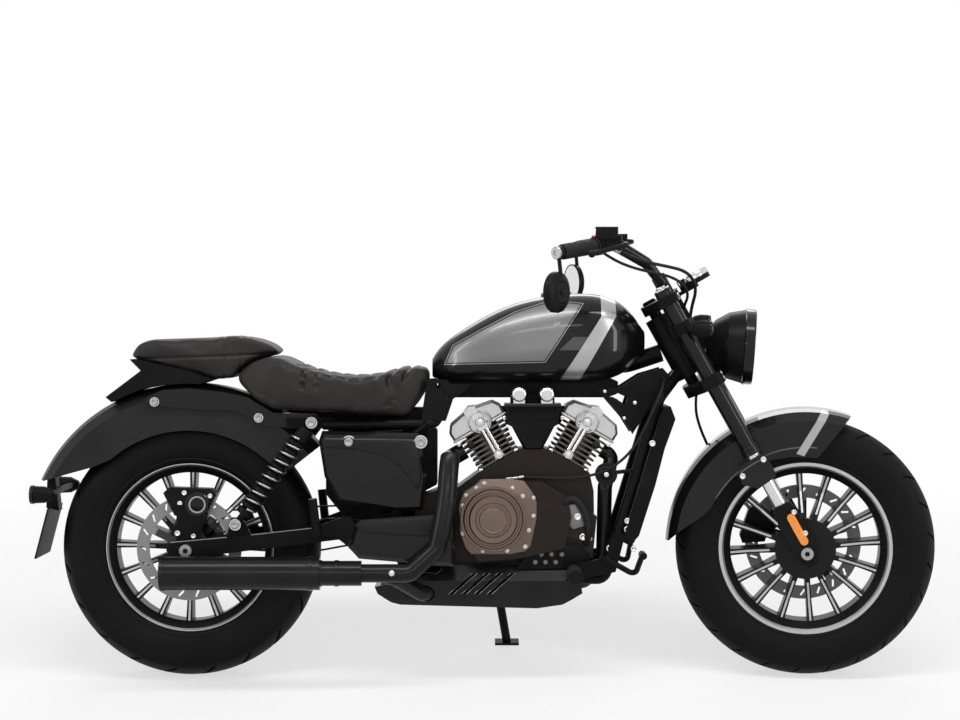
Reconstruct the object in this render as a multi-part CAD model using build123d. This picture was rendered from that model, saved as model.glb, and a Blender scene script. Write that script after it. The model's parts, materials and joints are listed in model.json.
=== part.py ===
from build123d import *
import math
import os

# Cruiser motorcycle. Bike frame, in millimetres: X forward, Y to the rider's left, Z up, with the
# origin on the road halfway between the axles. It is modelled upright and straight ahead, and
# main() turns the steering, leans the bike on its side stand and centres it.

# ---------------------------------------------------------------- driving dimensions
WHEELBASE = 1525.0
WHEEL_R = 320.0  # crown of both tyres
RIM_LIP_R = 213.0
RIM_BED_R = 204.0
RIM_INNER_R = 184.0
SPOKES = 16
FRONT_TYRE_HALF = 65.0
REAR_TYRE_HALF = 75.0
CROWN_R = 80.0  # radius of the tread across the tyre

RAKE = 29.0  # degrees
FORK_OFFSET = 45.0  # fork line ahead of the steering axis
FORK_HALF = 105.0  # half the distance between the fork tubes
OUTER_TUBE_R = 21.0
INNER_TUBE_R = 17.0
LOWER_YOKE_Z = 477.0  # heights along the fork line, from the axle
TOP_YOKE_Z = 702.0
SLIDER_TOP_Z = 275.0
CASTING_TOP_Z = 133.0

AXLE_R = 10.0
AXLE_BORE_R = 6.0
CLEAR = 0.3  # between pieces that lie in one another
RUN = 0.05  # radial clearance of a turning fit

LEAN = 10.0  # degrees, to the left, on the side stand
PARKED_STEER = -6.0  # degrees, negative is to the right

FRAME_TUBE_R = 14.0
BACKBONE_R = 22.0
RAIL_Y = 95.0
UPRIGHT_Y = 62.0
PIVOT = (-300.0, 372.0)  # swingarm pivot, X and Z
ARM_IN = 98.0
ARM_OUT = 124.0

CRANK = (86.0, 386.0)
BANK_ANGLE = 30.0
DECK = 172.0  # crank to cylinder base, along the bank
FIN_PITCH = 12.5
FINS = 8
FIN_T = 4.5

FRONT_AXLE = (WHEELBASE / 2, WHEEL_R)
REAR_AXLE = (-WHEELBASE / 2, WHEEL_R)

os.makedirs("parts", exist_ok=True)
CHASSIS = {}
STEERING = {}
FRONT_WHEEL = {}
REAR_WHEEL = {}
STAND = {}

# Local frame of the fork: origin at the front axle, z up the fork line, x forward.
FORK = Plane(
    origin=(FRONT_AXLE[0], 0, FRONT_AXLE[1]),
    x_dir=(math.cos(math.radians(RAKE)), 0, math.sin(math.radians(RAKE))),
    z_dir=(-math.sin(math.radians(RAKE)), 0, math.cos(math.radians(RAKE))),
).location
STEER_AXIS = (-math.sin(math.radians(RAKE)), 0, math.cos(math.radians(RAKE)))


# ---------------------------------------------------------------- shapes used throughout
def prism(points, y0, y1):
    """A side view outline of (x, z) points, as thick as from y0 to y1."""
    face = make_face(Polyline(*[(x, y0, z) for x, z in points], close=True))
    return extrude(face, amount=y1 - y0, dir=(0, 1, 0))


def cross_prism(points, x0, x1):
    """An outline of (y, z) points across the bike, from x0 to x1."""
    face = make_face(Polyline(*[(x0, y, z) for y, z in points], close=True))
    return extrude(face, amount=x1 - x0, dir=(1, 0, 0))


def block(x0, x1, y0, y1, z0, z1):
    return Pos((x0 + x1) / 2, (y0 + y1) / 2, (z0 + z1) / 2) * Box(abs(x1 - x0), abs(y1 - y0), abs(z1 - z0))


def bar(start, end, radius):
    """A round bar from one point to another."""
    run = Vector(*end) - Vector(*start)
    place = Plane(origin=start, z_dir=run).location
    return place * Cylinder(radius, run.length, align=(Align.CENTER, Align.CENTER, Align.MIN))


def cross_bar(x, z, y0, y1, radius):
    return bar((x, y0, z), (x, y1, z), radius)


def bent(points, radius, bend):
    """A round tube along straight runs joined by arcs."""
    path = FilletPolyline(*points, radius=bend)
    section = Plane(origin=path @ 0, z_dir=path % 0) * Circle(radius)
    return sweep(section, path)


def cord(name, points, radius):
    """A held cord: straight runs joined by arcs that take almost half of the shorter run each."""
    spots = [Vector(*point) for point in points]
    bends = []
    for before, at, after in zip(spots, spots[1:], spots[2:]):
        turn = math.radians((at - before).get_angle(after - at))
        shorter = min((at - before).length, (after - at).length)
        bends.append(0.45 * shorter / math.tan(turn / 2))
    print("cord", name, "radii", [round(bend, 1) for bend in bends])
    path = FilletPolyline(*points, radius=bends)
    solid = sweep(Plane(origin=path @ 0, z_dir=path % 0) * Circle(radius), path)
    print("cord", name, "length", round(path.length, 1), "volume share",
          round(solid.volume / (math.pi * radius**2 * path.length), 4))
    return solid


def ring(profile):
    """A (radius, y) outline turned round the Y axis through the origin."""
    face = make_face(Polyline(*[(r, y, 0) for r, y in profile], close=True))
    return revolve(face, axis=Axis.Y)


def at_wheel(solid, axle):
    return Pos(axle[0], 0, axle[1]) * solid


def turned(solid, angle):
    """Turned about the Y axis by an angle that rises from +X to +Z."""
    return Rot(0, -angle, 0) * solid


def polar(angle, radius):
    return (radius * math.cos(math.radians(angle)), radius * math.sin(math.radians(angle)))


def around(centre, table):
    """(angle, radius) pairs about a centre, as (x, z) points."""
    return [(centre[0] + polar(a, r)[0], centre[1] + polar(a, r)[1]) for a, r in table]


# ---------------------------------------------------------------- wheels
def tyre_outline(half):
    """The outer half of a tyre's section, as (radius, y) points from bead to crown."""
    edge = math.degrees(math.asin(0.76))
    crown = [
        (WHEEL_R - CROWN_R * (1 - math.cos(math.radians(a))) * 60 / half, half / 65 * CROWN_R
         * math.sin(math.radians(a)))
        for a in (edge, 30, 10)
    ]
    return [(RIM_BED_R + 0.5, 44.5), (RIM_LIP_R + 1, 45.5), (225, half - 7), (258, half)] + crown


def tyre(half):
    side = tyre_outline(half)
    wall = 9
    inner = [(RIM_BED_R + 0.5, 37), (258, half - wall), (300, half - 2 * wall)]
    outline = side + [(r, -y) for r, y in reversed(side)]
    hollow = [(r, -y) for r, y in inner] + list(reversed(inner))
    return ring(outline + hollow)


def rim(phase, hub_half, cap_side, cap_r):
    """Cast wheel: barrel, spokes with sloping faces, hub, and a raised hub cover on one side."""
    half = [(RIM_LIP_R - 8, 52), (RIM_LIP_R, 52), (RIM_LIP_R, 46), (RIM_BED_R, 45),
            (RIM_BED_R, 36), (192, 24)]
    inside = [(RIM_INNER_R, 30)]
    barrel = ring(half + [(r, -y) for r, y in reversed(half)] + [(r, -y) for r, y in inside] + inside)
    webs = ring([(30, 40), (70, 40), (140, 27), (187, 30), (187, -30), (140, -27), (70, -40), (30, -40)])
    spoke = make_face(Polyline((28, 0, -7.5), (120, 0, -6), (188, 0, -8), (188, 0, 8), (120, 0, 6),
                               (28, 0, 7.5), close=True))
    blade = Pos(0, -45, 0) * extrude(spoke, amount=90, dir=(0, 1, 0))
    blades = [turned(blade, phase + 360 / SPOKES * i) for i in range(SPOKES)]
    spokes = webs & (Part() + blades)
    hub = cross_bar(0, 0, -hub_half, hub_half, 33)
    cover = cross_bar(0, 0, cap_side * 36, cap_side * 56, cap_r)
    wheel = barrel + spokes + hub + cover
    return wheel - cross_bar(0, 0, -hub_half - 1, hub_half + 1, AXLE_R + RUN)


def disc(outer, inner, y0, y1, slots, slot_r, phase, hub_r):
    """Brake disc on a five-armed carrier that sits on the hub."""
    plate = cross_bar(0, 0, y0, y1, outer) - cross_bar(0, 0, y0 - 1, y1 + 1, inner)
    carrier = cross_bar(0, 0, y0, y1, hub_r) - cross_bar(0, 0, y0 - 1, y1 + 1, 20)
    arm = block(hub_r - 6, inner + 4, y0, y1, -9, 9)
    arms = [turned(arm, phase + 72 * i) for i in range(5)]
    cut = Rot(0, 35, 0) * block(-9, 9, y0 - 1, y1 + 1, -2.5, 2.5)
    cuts = [turned(Pos(slot_r, 0, 0) * cut, 360 / slots * i) for i in range(slots)]
    return (plate + carrier + arms) - cuts


def make_wheels():
    FRONT_WHEEL["front_wheel"] = at_wheel(rim(94.6, 66, -1, 75), FRONT_AXLE)
    FRONT_WHEEL["front_tyre"] = at_wheel(tyre(FRONT_TYRE_HALF), FRONT_AXLE)
    FRONT_WHEEL["front_disc"] = at_wheel(disc(145, 112, 66, 71, 20, 129, 18, 52), FRONT_AXLE)
    REAR_WHEEL["rear_wheel"] = at_wheel(rim(88.5, 64, 1, 60), REAR_AXLE)
    REAR_WHEEL["rear_tyre"] = at_wheel(tyre(REAR_TYRE_HALF), REAR_AXLE)
    REAR_WHEEL["rear_disc"] = at_wheel(disc(129, 98, -69, -64, 18, 114, 10, 48), REAR_AXLE)
    pulley = cross_bar(0, 0, 80, 95, 74.5) - cross_bar(0, 0, 79, 96, 60) + cross_bar(0, 0, 64, 90, 62)
    pulley -= cross_bar(0, 0, 63, 91, 20)
    for i in range(5):
        pulley -= Pos(*[polar(72 * i, 42)[0], 0, polar(72 * i, 42)[1]]) * cross_bar(0, 0, 63, 91, 11)
    REAR_WHEEL["rear_pulley"] = at_wheel(pulley, REAR_AXLE)


def axle(half, spacer_from, spacer_to, head):
    """Hollow spindle with spacers each side of the hub and a nut at each end."""
    rod = cross_bar(0, 0, -half, half, AXLE_R)
    for side in (-1, 1):
        rod += cross_bar(0, 0, side * spacer_from, side * spacer_to, 15)
        rod += cross_bar(0, 0, side * head, side * half, 15)
    return rod - cross_bar(0, 0, -half - 1, half + 1, AXLE_BORE_R)


# ---------------------------------------------------------------- front end
def make_fork():
    tubes = []
    sliders = []
    castings = []
    reflectors = []
    for side in (-1, 1):
        y = side * FORK_HALF
        outer = bar((0, y, SLIDER_TOP_Z), (0, y, TOP_YOKE_Z + 29), OUTER_TUBE_R)
        outer += bar((0, y, SLIDER_TOP_Z), (0, y, SLIDER_TOP_Z + 16), OUTER_TUBE_R + 2.5)
        outer -= bar((0, y, SLIDER_TOP_Z - 1), (0, y, SLIDER_TOP_Z + 40), INNER_TUBE_R + CLEAR)
        tubes.append(FORK * outer)
        sliders.append(FORK * bar((0, y, CASTING_TOP_Z), (0, y, SLIDER_TOP_Z + 39), INNER_TUBE_R))
        outline = [(-27, 118), (-22, CASTING_TOP_Z), (22, CASTING_TOP_Z), (27, 118), (29, 20),
                   (24, -18), (10, -34), (-12, -34), (-24, -14), (-28, 20)]
        foot = prism(outline, y - 25, y + 25)
        foot = fillet(foot.edges().filter_by(Axis.Y), 6)
        foot -= cross_bar(0, 0, y - 30, y + 30, AXLE_R + CLEAR)
        castings.append(FORK * foot)
        lens = Pos(8, side * (FORK_HALF + 27), 62) * Rot(90, 0, 0) * extrude(SlotOverall(85, 20, 90), 1.7, both=True)
        reflectors.append(FORK * lens)
    STEERING["fork_outer_tubes"] = tubes
    STEERING["fork_inner_tubes"] = sliders
    STEERING["fork_castings"] = castings
    STEERING["fork_reflectors"] = reflectors
    STEERING["front_axle"] = at_wheel(axle(FORK_HALF + 38, 66.5, FORK_HALF - 25.3, FORK_HALF + 25.3), FRONT_AXLE)


def yoke(z0, z1, back):
    """A plate that clamps both fork tubes, with the stem's boss behind."""
    plate = Polyline((back, -38), (-26, -134), (26, -134), (32, -60), (20, 0), (32, 60), (26, 134),
                     (-26, 134), (back, 38), close=True)
    body = Pos(0, 0, z0) * extrude(make_face(plate), z1 - z0)
    body = fillet(body.edges().filter_by(Axis.Z), 12)
    for side in (-1, 1):
        body -= bar((0, side * FORK_HALF, z0 - 1), (0, side * FORK_HALF, z1 + 1), OUTER_TUBE_R + CLEAR)
    return body


def make_yokes():
    x = -FORK_OFFSET
    low = yoke(LOWER_YOKE_Z - 15, LOWER_YOKE_Z + 15, -74)
    top = yoke(TOP_YOKE_Z - 12, TOP_YOKE_Z + 12, -70)
    stem = bar((x, 0, LOWER_YOKE_Z), (x, 0, TOP_YOKE_Z + 20), 15)
    for z in (LOWER_YOKE_Z + 35, TOP_YOKE_Z - 42):
        stem += bar((x, 0, z), (x, 0, z + 14), 26 - RUN)
    nut = bar((x, 0, TOP_YOKE_Z), (x, 0, TOP_YOKE_Z + 18), 17)
    # bridge that carries the headlamp
    bridge = block(20, 30, -22, 22, LOWER_YOKE_Z, TOP_YOKE_Z)
    ear = block(28, 66, -14, 14, 545, 600) + block(26, 84, -9, 9, TOP_YOKE_Z - 8, TOP_YOKE_Z + 1)
    risers = []
    for side in (-1, 1):
        post = bar((6, side * 48, TOP_YOKE_Z), (6, side * 48, TOP_YOKE_Z + 62), 17)
        risers.append(post)
    centre = FORK.inverse() * Pos(BAR_POINTS[0][0], 0, BAR_POINTS[0][2])
    clamp_bore = centre * Rot(90, 0, 0) * Cylinder(BAR_R + CLEAR, 180)
    STEERING["yokes"] = FORK * (low + top + stem + nut + bridge + ear + risers - clamp_bore)


BAR_R = 11.1
BAR_POINTS = [(407, -84, 975), (370, -150, 1024), (285, -236, 1075), (181, -386, 1058)]
GRIP_FROM = 0.30  # of the last run of the bar


def handlebar_path():
    right = BAR_POINTS
    left = [(x, -y, z) for x, y, z in right]
    return list(reversed(right)) + left


def along_grip(distance, side):
    """A point on the grip's centre line, measured in from the bar's end."""
    end = Vector(*BAR_POINTS[-1])
    back = (Vector(*BAR_POINTS[-2]) - end).normalized()
    spot = end + back * distance
    return (spot.X, -side * spot.Y, spot.Z)


def make_controls():
    STEERING["handlebar"] = bent(handlebar_path(), BAR_R, 48)
    grips = []
    housings = []
    levers = []
    mirrors = []
    for side in (-1, 1):
        knuckle = Vector(*along_grip(158, side))
        tip = Vector(*along_grip(10, side))
        reach = [(knuckle.X + 34, knuckle.Y, knuckle.Z + 4), (knuckle.X + 60, knuckle.Y + side * 30, knuckle.Z + 2),
                 (tip.X + 62, tip.Y, tip.Z - 6)]
        levers.append(bent(reach, 6, 14))
        start = along_grip(-6, side)
        end = along_grip(122, side)
        hole = bar(along_grip(-30, side), along_grip(200, side), BAR_R + CLEAR)
        grips.append(bar(start, end, 17) + bar(along_grip(118, side), along_grip(124, side), 21) - hole)
        pod = bar(along_grip(126, side), along_grip(148, side), 23)
        clamp = bar(along_grip(148, side), along_grip(168, side), 19)
        spot = Vector(*along_grip(150, side))
        body = Pos(spot.X + 28, spot.Y, spot.Z + 6) * Box(42, 38, 34)
        if side < 0:
            body += Pos(spot.X + 14, spot.Y, spot.Z + 30) * Box(52, 50, 28)
        body -= bent(reach, 6 + CLEAR, 14)
        housings.append(pod + clamp + body - hole - bent(handlebar_path(), BAR_R + CLEAR, 48))
    STEERING["grips"] = grips
    STEERING["hand_controls"] = housings
    for side in (-1, 1):
        stem_top = Vector(*along_grip(-14, side))
        head = (stem_top.X - 6, stem_top.Y + side * 10, stem_top.Z - 92)
        stem = bar((stem_top.X, stem_top.Y, stem_top.Z), (head[0] + 6, head[1], head[2] + 30), 5)
        turn = Rot(0, 0, side * 61)
        shell = Pos(*head) * turn * Rot(90, 0, 0) * (
            Cylinder(48, 12) + Pos(0, 0, 12) * Cone(48, 30, 12))
        collar = bar(along_grip(-22, side), along_grip(-6.3, side), 15)
        mirrors.append(shell + stem + collar)
    STEERING["levers"] = levers
    STEERING["mirrors"] = mirrors


def make_lamps():
    tilt = Pos(560, 0, 820) * Rot(0, 4, 0)
    bowl = [(0, 75), (92, 75), (92, 52), (89, 40), (82, 10), (62, -22), (36, -42), (0, -50)]
    face = make_face(Polyline(*[(x, 0, r) for r, x in bowl], close=True))
    shell = revolve(face, axis=Axis.X)
    shell -= Pos(75, 0, 0) * Rot(0, 90, 0) * Cylinder(82, 24)
    neck = Rot(0, 90, 0) * Pos(0, 0, -50) * Cylinder(13, 34)
    shell = tilt * (shell + neck)
    shell -= STEERING["yokes"]
    STEERING["headlamp"] = shell
    lens = Rot(0, 90, 0) * Cylinder(82 - CLEAR, 8)
    STEERING["headlamp_lens"] = tilt * Pos(67.5, 0, 0) * lens
    signals = []
    for side in (-1, 1):
        outline = [(0, 26), (15, 26), (20, 20), (21, 0), (18, -14), (8, -32), (0, -36)]
        face = make_face(Polyline(*[(x, 0, r) for r, x in outline], close=True))
        bullet = Pos(505, side * 160, 868) * revolve(face, axis=Axis.X)
        arm = bar((500, side * 146, 868), (468, side * 118, 868), 6)
        clamp = FORK * bar((0, side * FORK_HALF, 612), (0, side * FORK_HALF, 640), OUTER_TUBE_R + 6)
        tube = FORK * bar((0, side * FORK_HALF, 560), (0, side * FORK_HALF, 690), OUTER_TUBE_R + CLEAR)
        signals.append(bullet + arm + clamp - tube)
    STEERING["front_indicators"] = signals
    dial = Pos(80, 0, TOP_YOKE_Z + 1) * Cylinder(41, 24, align=(Align.CENTER, Align.CENTER, Align.MIN))
    STEERING["gauge"] = FORK * dial


def make_front_fender():
    outer = 345.0
    half = 81.0
    wall = 4.0
    ridge = [(outer - 26, half), (outer - 6, half - 22), (outer, half - 48)]
    side = [(226, half)] + ridge
    inner = [(r - wall, y) for r, y in ridge[1:]]
    inner = [(226, half - wall), (outer - 28, half - wall)] + inner
    outline = side + [(r, -y) for r, y in reversed(side)]
    hollow = [(r, -y) for r, y in inner] + list(reversed(inner))
    shell = ring(outline + hollow)
    keep = around((0, 0), [
        (70, 360), (72.6, 331), (83, 230), (99.5, 233), (110, 237), (135, 252), (149, 253),
        (157, 255), (163, 269), (172.6, 316), (177, 337), (177.5, 360), (160, 400), (130, 480),
        (100, 480), (80, 400)])
    shell &= prism(keep, -100, 100)
    pieces = [at_wheel(shell, FRONT_AXLE)]
    for side in (-1, 1):
        y = side * FORK_HALF
        outline = [(-58, 222), (-44, 262), (22, 268), (30, 226), (24, 200), (-26, 194)]
        plate = prism(outline, side * (FORK_HALF - 23.5), side * (FORK_HALF + 24))
        plate -= bar((0, y, 150), (0, y, 300), INNER_TUBE_R + CLEAR)
        pieces.append(FORK * plate)
    STEERING["front_fender"] = pieces


def caliper(axle_at, angle, disc_r, y0, y1, gap0, gap1, reach0, reach1, spread):
    """A block that straddles a disc's edge."""
    outline = around((0, 0), [
        (angle - spread, reach0), (angle + spread, reach0), (angle + spread + 2, reach1 - 8),
        (angle + spread - 5, reach1), (angle - spread + 5, reach1), (angle - spread - 2, reach1 - 8)])
    body = prism(outline, y0, y1)
    slot = cross_bar(0, 0, gap0, gap1, disc_r + 6)
    return at_wheel(body - slot, axle_at)


def make_front_brake():
    body = caliper(FRONT_AXLE, 161, 145, 48, 92, 60.5, 76.5, 96, 160, 18)
    lug = FORK * block(-75, -27.95, 82, 92, 60, 110)
    STEERING["front_caliper"] = body + lug


# ---------------------------------------------------------------- frame
HEAD_LOW_Z = LOWER_YOKE_Z + 32
HEAD_HIGH_Z = TOP_YOKE_Z - 26
RAIL_Z = 248.0


def make_frame():
    x = -FORK_OFFSET
    head = bar((x, 0, HEAD_LOW_Z), (x, 0, HEAD_HIGH_Z), 32) - bar((x, 0, 400), (x, 0, 800), 26)
    frame = FORK * head
    spine = bent([(405, 0, 800), (320, 0, 772), (-110, 0, 757)], BACKBONE_R, 120)
    frame += spine - FORK * bar((x, 0, 400), (x, 0, 800), 28)
    for side in (-1, 1):
        loop = [(448, side * 20, 752), (394, side * RAIL_Y, 690), (290, side * (RAIL_Y + 5), 350),
                (258, side * RAIL_Y, RAIL_Z), (-215, side * RAIL_Y, RAIL_Z),
                (-252, side * UPRIGHT_Y, 318), (-252, side * UPRIGHT_Y, 560), (-172, side * 96, 626)]
        frame += bent(loop, FRAME_TUBE_R, 24) - FORK * bar((x, 0, 400), (x, 0, 800), 28)
        rail = [(-104, side * 8, 731), (-158, side * 84, 626), (-430, side * 116, 626)]
        frame += bent(rail, 13, 22)
        flange = block(-520, -405, side * 103.3, side * 109, 616, 642)
        frame += flange - cross_bar(SHOCK_TOP[0], SHOCK_TOP[1], side * 90, side * 130, 7 + CLEAR)
        frame += cross_bar(288, 356, side * 104, side * 126.7, 10)
        frame += cross_bar(266, 286, side * 98, side * 126.7, 8)
        plate = [(-325, 346), (-325, 398), (-240, 412), (-240, 332)]
        frame += prism(plate, side * 56, side * 78)
        gusset = [(240, 712), (300, 716), (350, 748), (404, 764), (424, 742), (392, 696), (330, 600),
                  (305, 640), (262, 690)]
        cheek = prism(gusset, side * 58, side * 64)
        crescent = prism([(268, 690), (290, 703), (318, 690), (312, 672), (290, 688)], side * 50, side * 70)
        frame += cheek - crescent
        seat_plate = [(-190, 634), (-186, 668), (-176, 734), (-128, 736), (-118, 724), (-66, 724), (-80, 708),
                      (-112, 688), (-130, 634)]
        holes = cross_bar(-148, 720, side * 70, side * 120, 6.5) + cross_bar(-125, 693, side * 70, side * 120, 6.5)
        frame += prism(seat_plate, side * 86, side * 96) - holes
    frame += cross_bar(PIVOT[0], PIVOT[1], -ARM_OUT - 9.7, ARM_OUT + 9.7, AXLE_R)
    frame += cross_bar(-215, RAIL_Z, -RAIL_Y, RAIL_Y, 12)
    frame += block(150, 170, -14, 14, 775, 796.4) + block(-100, -80, -14, 14, 768, 788)
    frame += cross_bar(290, 322, -RAIL_Y, RAIL_Y, 8)
    CHASSIS["frame"] = frame + make_stand_mount()


def make_swingarm():
    arm = None
    for side in (-1, 1):
        outline = [(-322, 354), (-300, 350), (-276, 362), (-276, 384), (-300, 394), (-500, 368),
                   (-762, 341), (-800, 338), (-812, 320), (-800, 302), (-762, 300)]
        beam = prism(outline, side * ARM_IN, side * ARM_OUT)
        beam += cross_bar(PIVOT[0], PIVOT[1], side * 78.3, side * ARM_IN, 20)
        lug = [(-668, 345), (-654, 398), (-628, 398), (-604, 352)]
        beam += prism(lug, side * ARM_IN, side * (ARM_IN + 9))
        beam += prism([(-400, 350), (-350, 352), (-350, 382), (-400, 376)], side * 60, side * ARM_IN)
        beam -= cross_bar(PIVOT[0], PIVOT[1], side * 70, side * 140, AXLE_R + CLEAR)
        beam -= cross_bar(REAR_AXLE[0], REAR_AXLE[1], side * 90, side * 140, AXLE_R + CLEAR)
        arm = beam if arm is None else arm + beam
    arm += cross_bar(-384, 362, -80, 80, 19)
    # caliper carrier
    carrier = prism([(-790, 330), (-735, 330), (-716, 420), (-790, 430)], -ARM_IN, -93)
    carrier -= cross_bar(REAR_AXLE[0], REAR_AXLE[1], -130, -90, 15.3)
    CHASSIS["swingarm"] = arm + carrier
    CHASSIS["rear_caliper"] = caliper(REAR_AXLE, 88, 129, -92.8, -50, -74, -59, 88, 158, 24)
    CHASSIS["rear_axle"] = at_wheel(axle(ARM_OUT + 20, 64.5, ARM_IN - CLEAR, ARM_OUT + CLEAR), REAR_AXLE)


SHOCK_TOP = (-455.0, 632.0)
SHOCK_LOW = (-641.0, 384.0)
COILS = 9


def make_shocks():
    shocks = []
    for side in (-1, 1):
        y = side * 130
        top = (SHOCK_TOP[0], y, SHOCK_TOP[1])
        low = (SHOCK_LOW[0], y, SHOCK_LOW[1])
        run = Vector(*low) - Vector(*top)
        frame = Plane(origin=top, z_dir=run).location
        length = run.length
        outline = [(0, 0), (8, 0), (8, 20), (19, 20), (19, 54)]
        pitch = (length - 98) / COILS
        for i in range(COILS):
            outline += [(14, 54 + pitch * (i + 0.08)), (21, 54 + pitch * (i + 0.35)),
                        (21, 54 + pitch * (i + 0.65)), (14, 54 + pitch * (i + 0.92))]
        outline += [(21, length - 44), (21, length - 30), (8, length - 30), (8, length), (0, length)]
        face = make_face(Polyline(*[(r, 0, z) for r, z in outline], close=True))
        body = frame * revolve(face, axis=Axis.Z)
        body += cross_bar(top[0], top[2], side * 112, side * 144, 16)
        body += cross_bar(low[0], low[2], side * 107.3, side * 144, 15)
        body -= cross_bar(top[0], top[2], side * 100, side * 160, 7 + CLEAR)
        shocks.append(body)
    CHASSIS["rear_shocks"] = shocks


# ---------------------------------------------------------------- engine
def bank_place(sign):
    """Local frame of a cylinder bank: z up the bore from the crank. sign is 1 for the front."""
    return Pos(CRANK[0], 0, CRANK[1]) * Rot(0, sign * BANK_ANGLE, 0)


def make_engine():
    cylinders = []
    covers = []
    rods = []
    for sign in (-1, 1):
        place = bank_place(sign)
        body = Pos(0, 0, DECK) * Cylinder(44, 94, align=(Align.CENTER, Align.CENTER, Align.MIN))
        for i in range(FINS):
            z = DECK + 2 + FIN_PITCH * i
            half = 56 if i < 4 else 60
            fin = Pos(0, 0, z + FIN_T / 2) * Box(2 * half, 124, FIN_T)
            body += fillet(fin.edges().filter_by(Axis.Z), 16)
        cylinders.append(place * body)
        outline = [(-72, 266), (-73, 290), (-60, 308), (-20, 316), (0, 322), (20, 316), (60, 308),
                   (73, 290), (72, 266)]
        cover = prism(outline, -62, 62)
        cover = fillet(cover.edges().filter_by(Axis.Y), 7)
        cover = chamfer(cover.faces().sort_by(Axis.Y)[0].edges() + cover.faces().sort_by(Axis.Y)[-1].edges(), 6)
        ridge = prism([(-16, 266), (-16, 318), (0, 325), (16, 318), (16, 266)], -70, 70)
        covers.append(place * (cover + ridge))
        foot_x = -8 * sign
        rod = bar((foot_x - 6, -72, 186), (foot_x - 6, -72, 262), 5.2)
        rod += bar((foot_x + 6, -72, 186), (foot_x + 6, -72, 262), 5.2)
        rod += block(foot_x - 12, foot_x + 12, -77, -67, 178, 192)
        rod += block(foot_x - 12, foot_x + 12, -78, -70.3, 258, 298)
        rods.append(place * rod)
    CHASSIS["cylinders"] = cylinders
    CHASSIS["rocker_covers"] = covers
    CHASSIS["pushrod_tubes"] = rods

    deck = []
    for sign, reach in ((-1, (-60, 58)), (1, (-58, 60))):
        place = bank_place(sign)
        for r in reach:
            spot = place * Pos(r, 0, DECK)
            deck.append((spot.position.X, spot.position.Z))
    outline = [(-200, 310), (-206, 440), (-150, 462), (-100, 470)] + deck + [
        (234, 460), (236, 340), (200, 264), (-130, 264)]
    case = prism(outline, -72, 72)
    right = around(CRANK, [(250, 90), (215, 165), (195, 176), (180, 182), (160, 150), (120, 118), (80, 104),
                           (40, 104), (10, 92), (-40, 96)])
    case += prism(right, -132, -71)
    case += cross_bar(CRANK[0], CRANK[1], 71, 118, 84)
    case += prism([(110, 300), (230, 300), (240, 400), (190, 440), (120, 430)], -104, -71)
    case += cross_bar(186, 372, -120, -103, 26)
    case += cross_bar(-180, 385, 60, 79.5, 14) + cross_bar(-180, 385, 79.5, 96, 34)
    CHASSIS["crankcase"] = case
    centre = (-14, 398)
    clutch = cross_bar(*centre, -150, -132, 78) + cross_bar(*centre, -166, -149, 68)
    clutch += cross_bar(*centre, -176, -165, 56) + cross_bar(*centre, -181, -175, 32)
    CHASSIS["clutch_cover"] = clutch
    left = cross_bar(CRANK[0], CRANK[1], 118, 132, 72) + cross_bar(CRANK[0], CRANK[1], 131, 142, 50)
    CHASSIS["generator_cover"] = left

    box = prism([(16, 672), (150, 672), (146, 626), (120, 612), (104, 568), (66, 568), (48, 612), (20, 626)],
                -100, -30)
    box += block(14, 152, -106, -30, 668, 677)
    window = block(26, 142, -110, -96, 636, 662)
    box += block(30, 138, -60, 60, 650, 700)
    for sign in (-1, 1):
        box += bank_place(sign) * bar((-sign * 110, 0, 250), (-sign * 60.3, 0, 250), 14)
    CHASSIS["intake_box"] = box - window
    caps = []
    for x in (50, 118):
        cap = cross_bar(x, 700, -112, -62, 19)
        cap = fillet(cap.faces().sort_by(Axis.Y)[0].edges(), 9)
        caps.append(cap + block(x - 14, x + 14, -100, -62, 677.3, 690))
    CHASSIS["intake_caps"] = caps


def make_radiator():
    low = Vector(290, 0, 350)
    high = Vector(394, 0, 690)
    lean = math.degrees(math.atan2(high.X - low.X, high.Z - low.Z))
    place = Pos(low.X, 0, low.Z) * Rot(0, lean, 0)
    core = Pos(31, 0, 165) * Box(26, 210, 300)
    cowl = prism([(14.3, -6), (14.3, 338), (30, 344), (50, 318), (46, 240), (50, 150), (48, 20), (34, -10)],
                 -126, 126)
    cowl -= block(-5, 60, -106, 106, 12, 318)
    CHASSIS["radiator"] = place * (core & block(15.5, 60, -105.7, 105.7, 12.3, 317.7))
    CHASSIS["radiator_cowl"] = place * cowl


def port(sign, out, y):
    """A place square to the bank's face, at the exhaust port's height."""
    spot = (bank_place(sign) * Pos(sign * out, y, DECK + 63)).position
    return (spot.X, spot.Y, spot.Z)


REAR_PIPE_R = 22.0
FRONT_PIPE_R = 18.0
MUFFLER_Y = -210.0
MUFFLER_Z = 273.0
REAR_PIPE = [port(-1, 60.4, -30), port(-1, 104, -30), (-122, -172, 536), (-126, -190, 440),
             (-150, -194, 330), (-215, MUFFLER_Y, MUFFLER_Z), (-330, MUFFLER_Y, MUFFLER_Z)]
FRONT_PIPE = [port(1, 60.4, -24), port(1, 90, -24), (262, -60, 470), (258, -60, 300), (212, -60, 238),
              (-120, -60, 214), (-190, -130, 214), (-250, -196, 258), (-285, MUFFLER_Y + 2, MUFFLER_Z - 4)]


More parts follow.
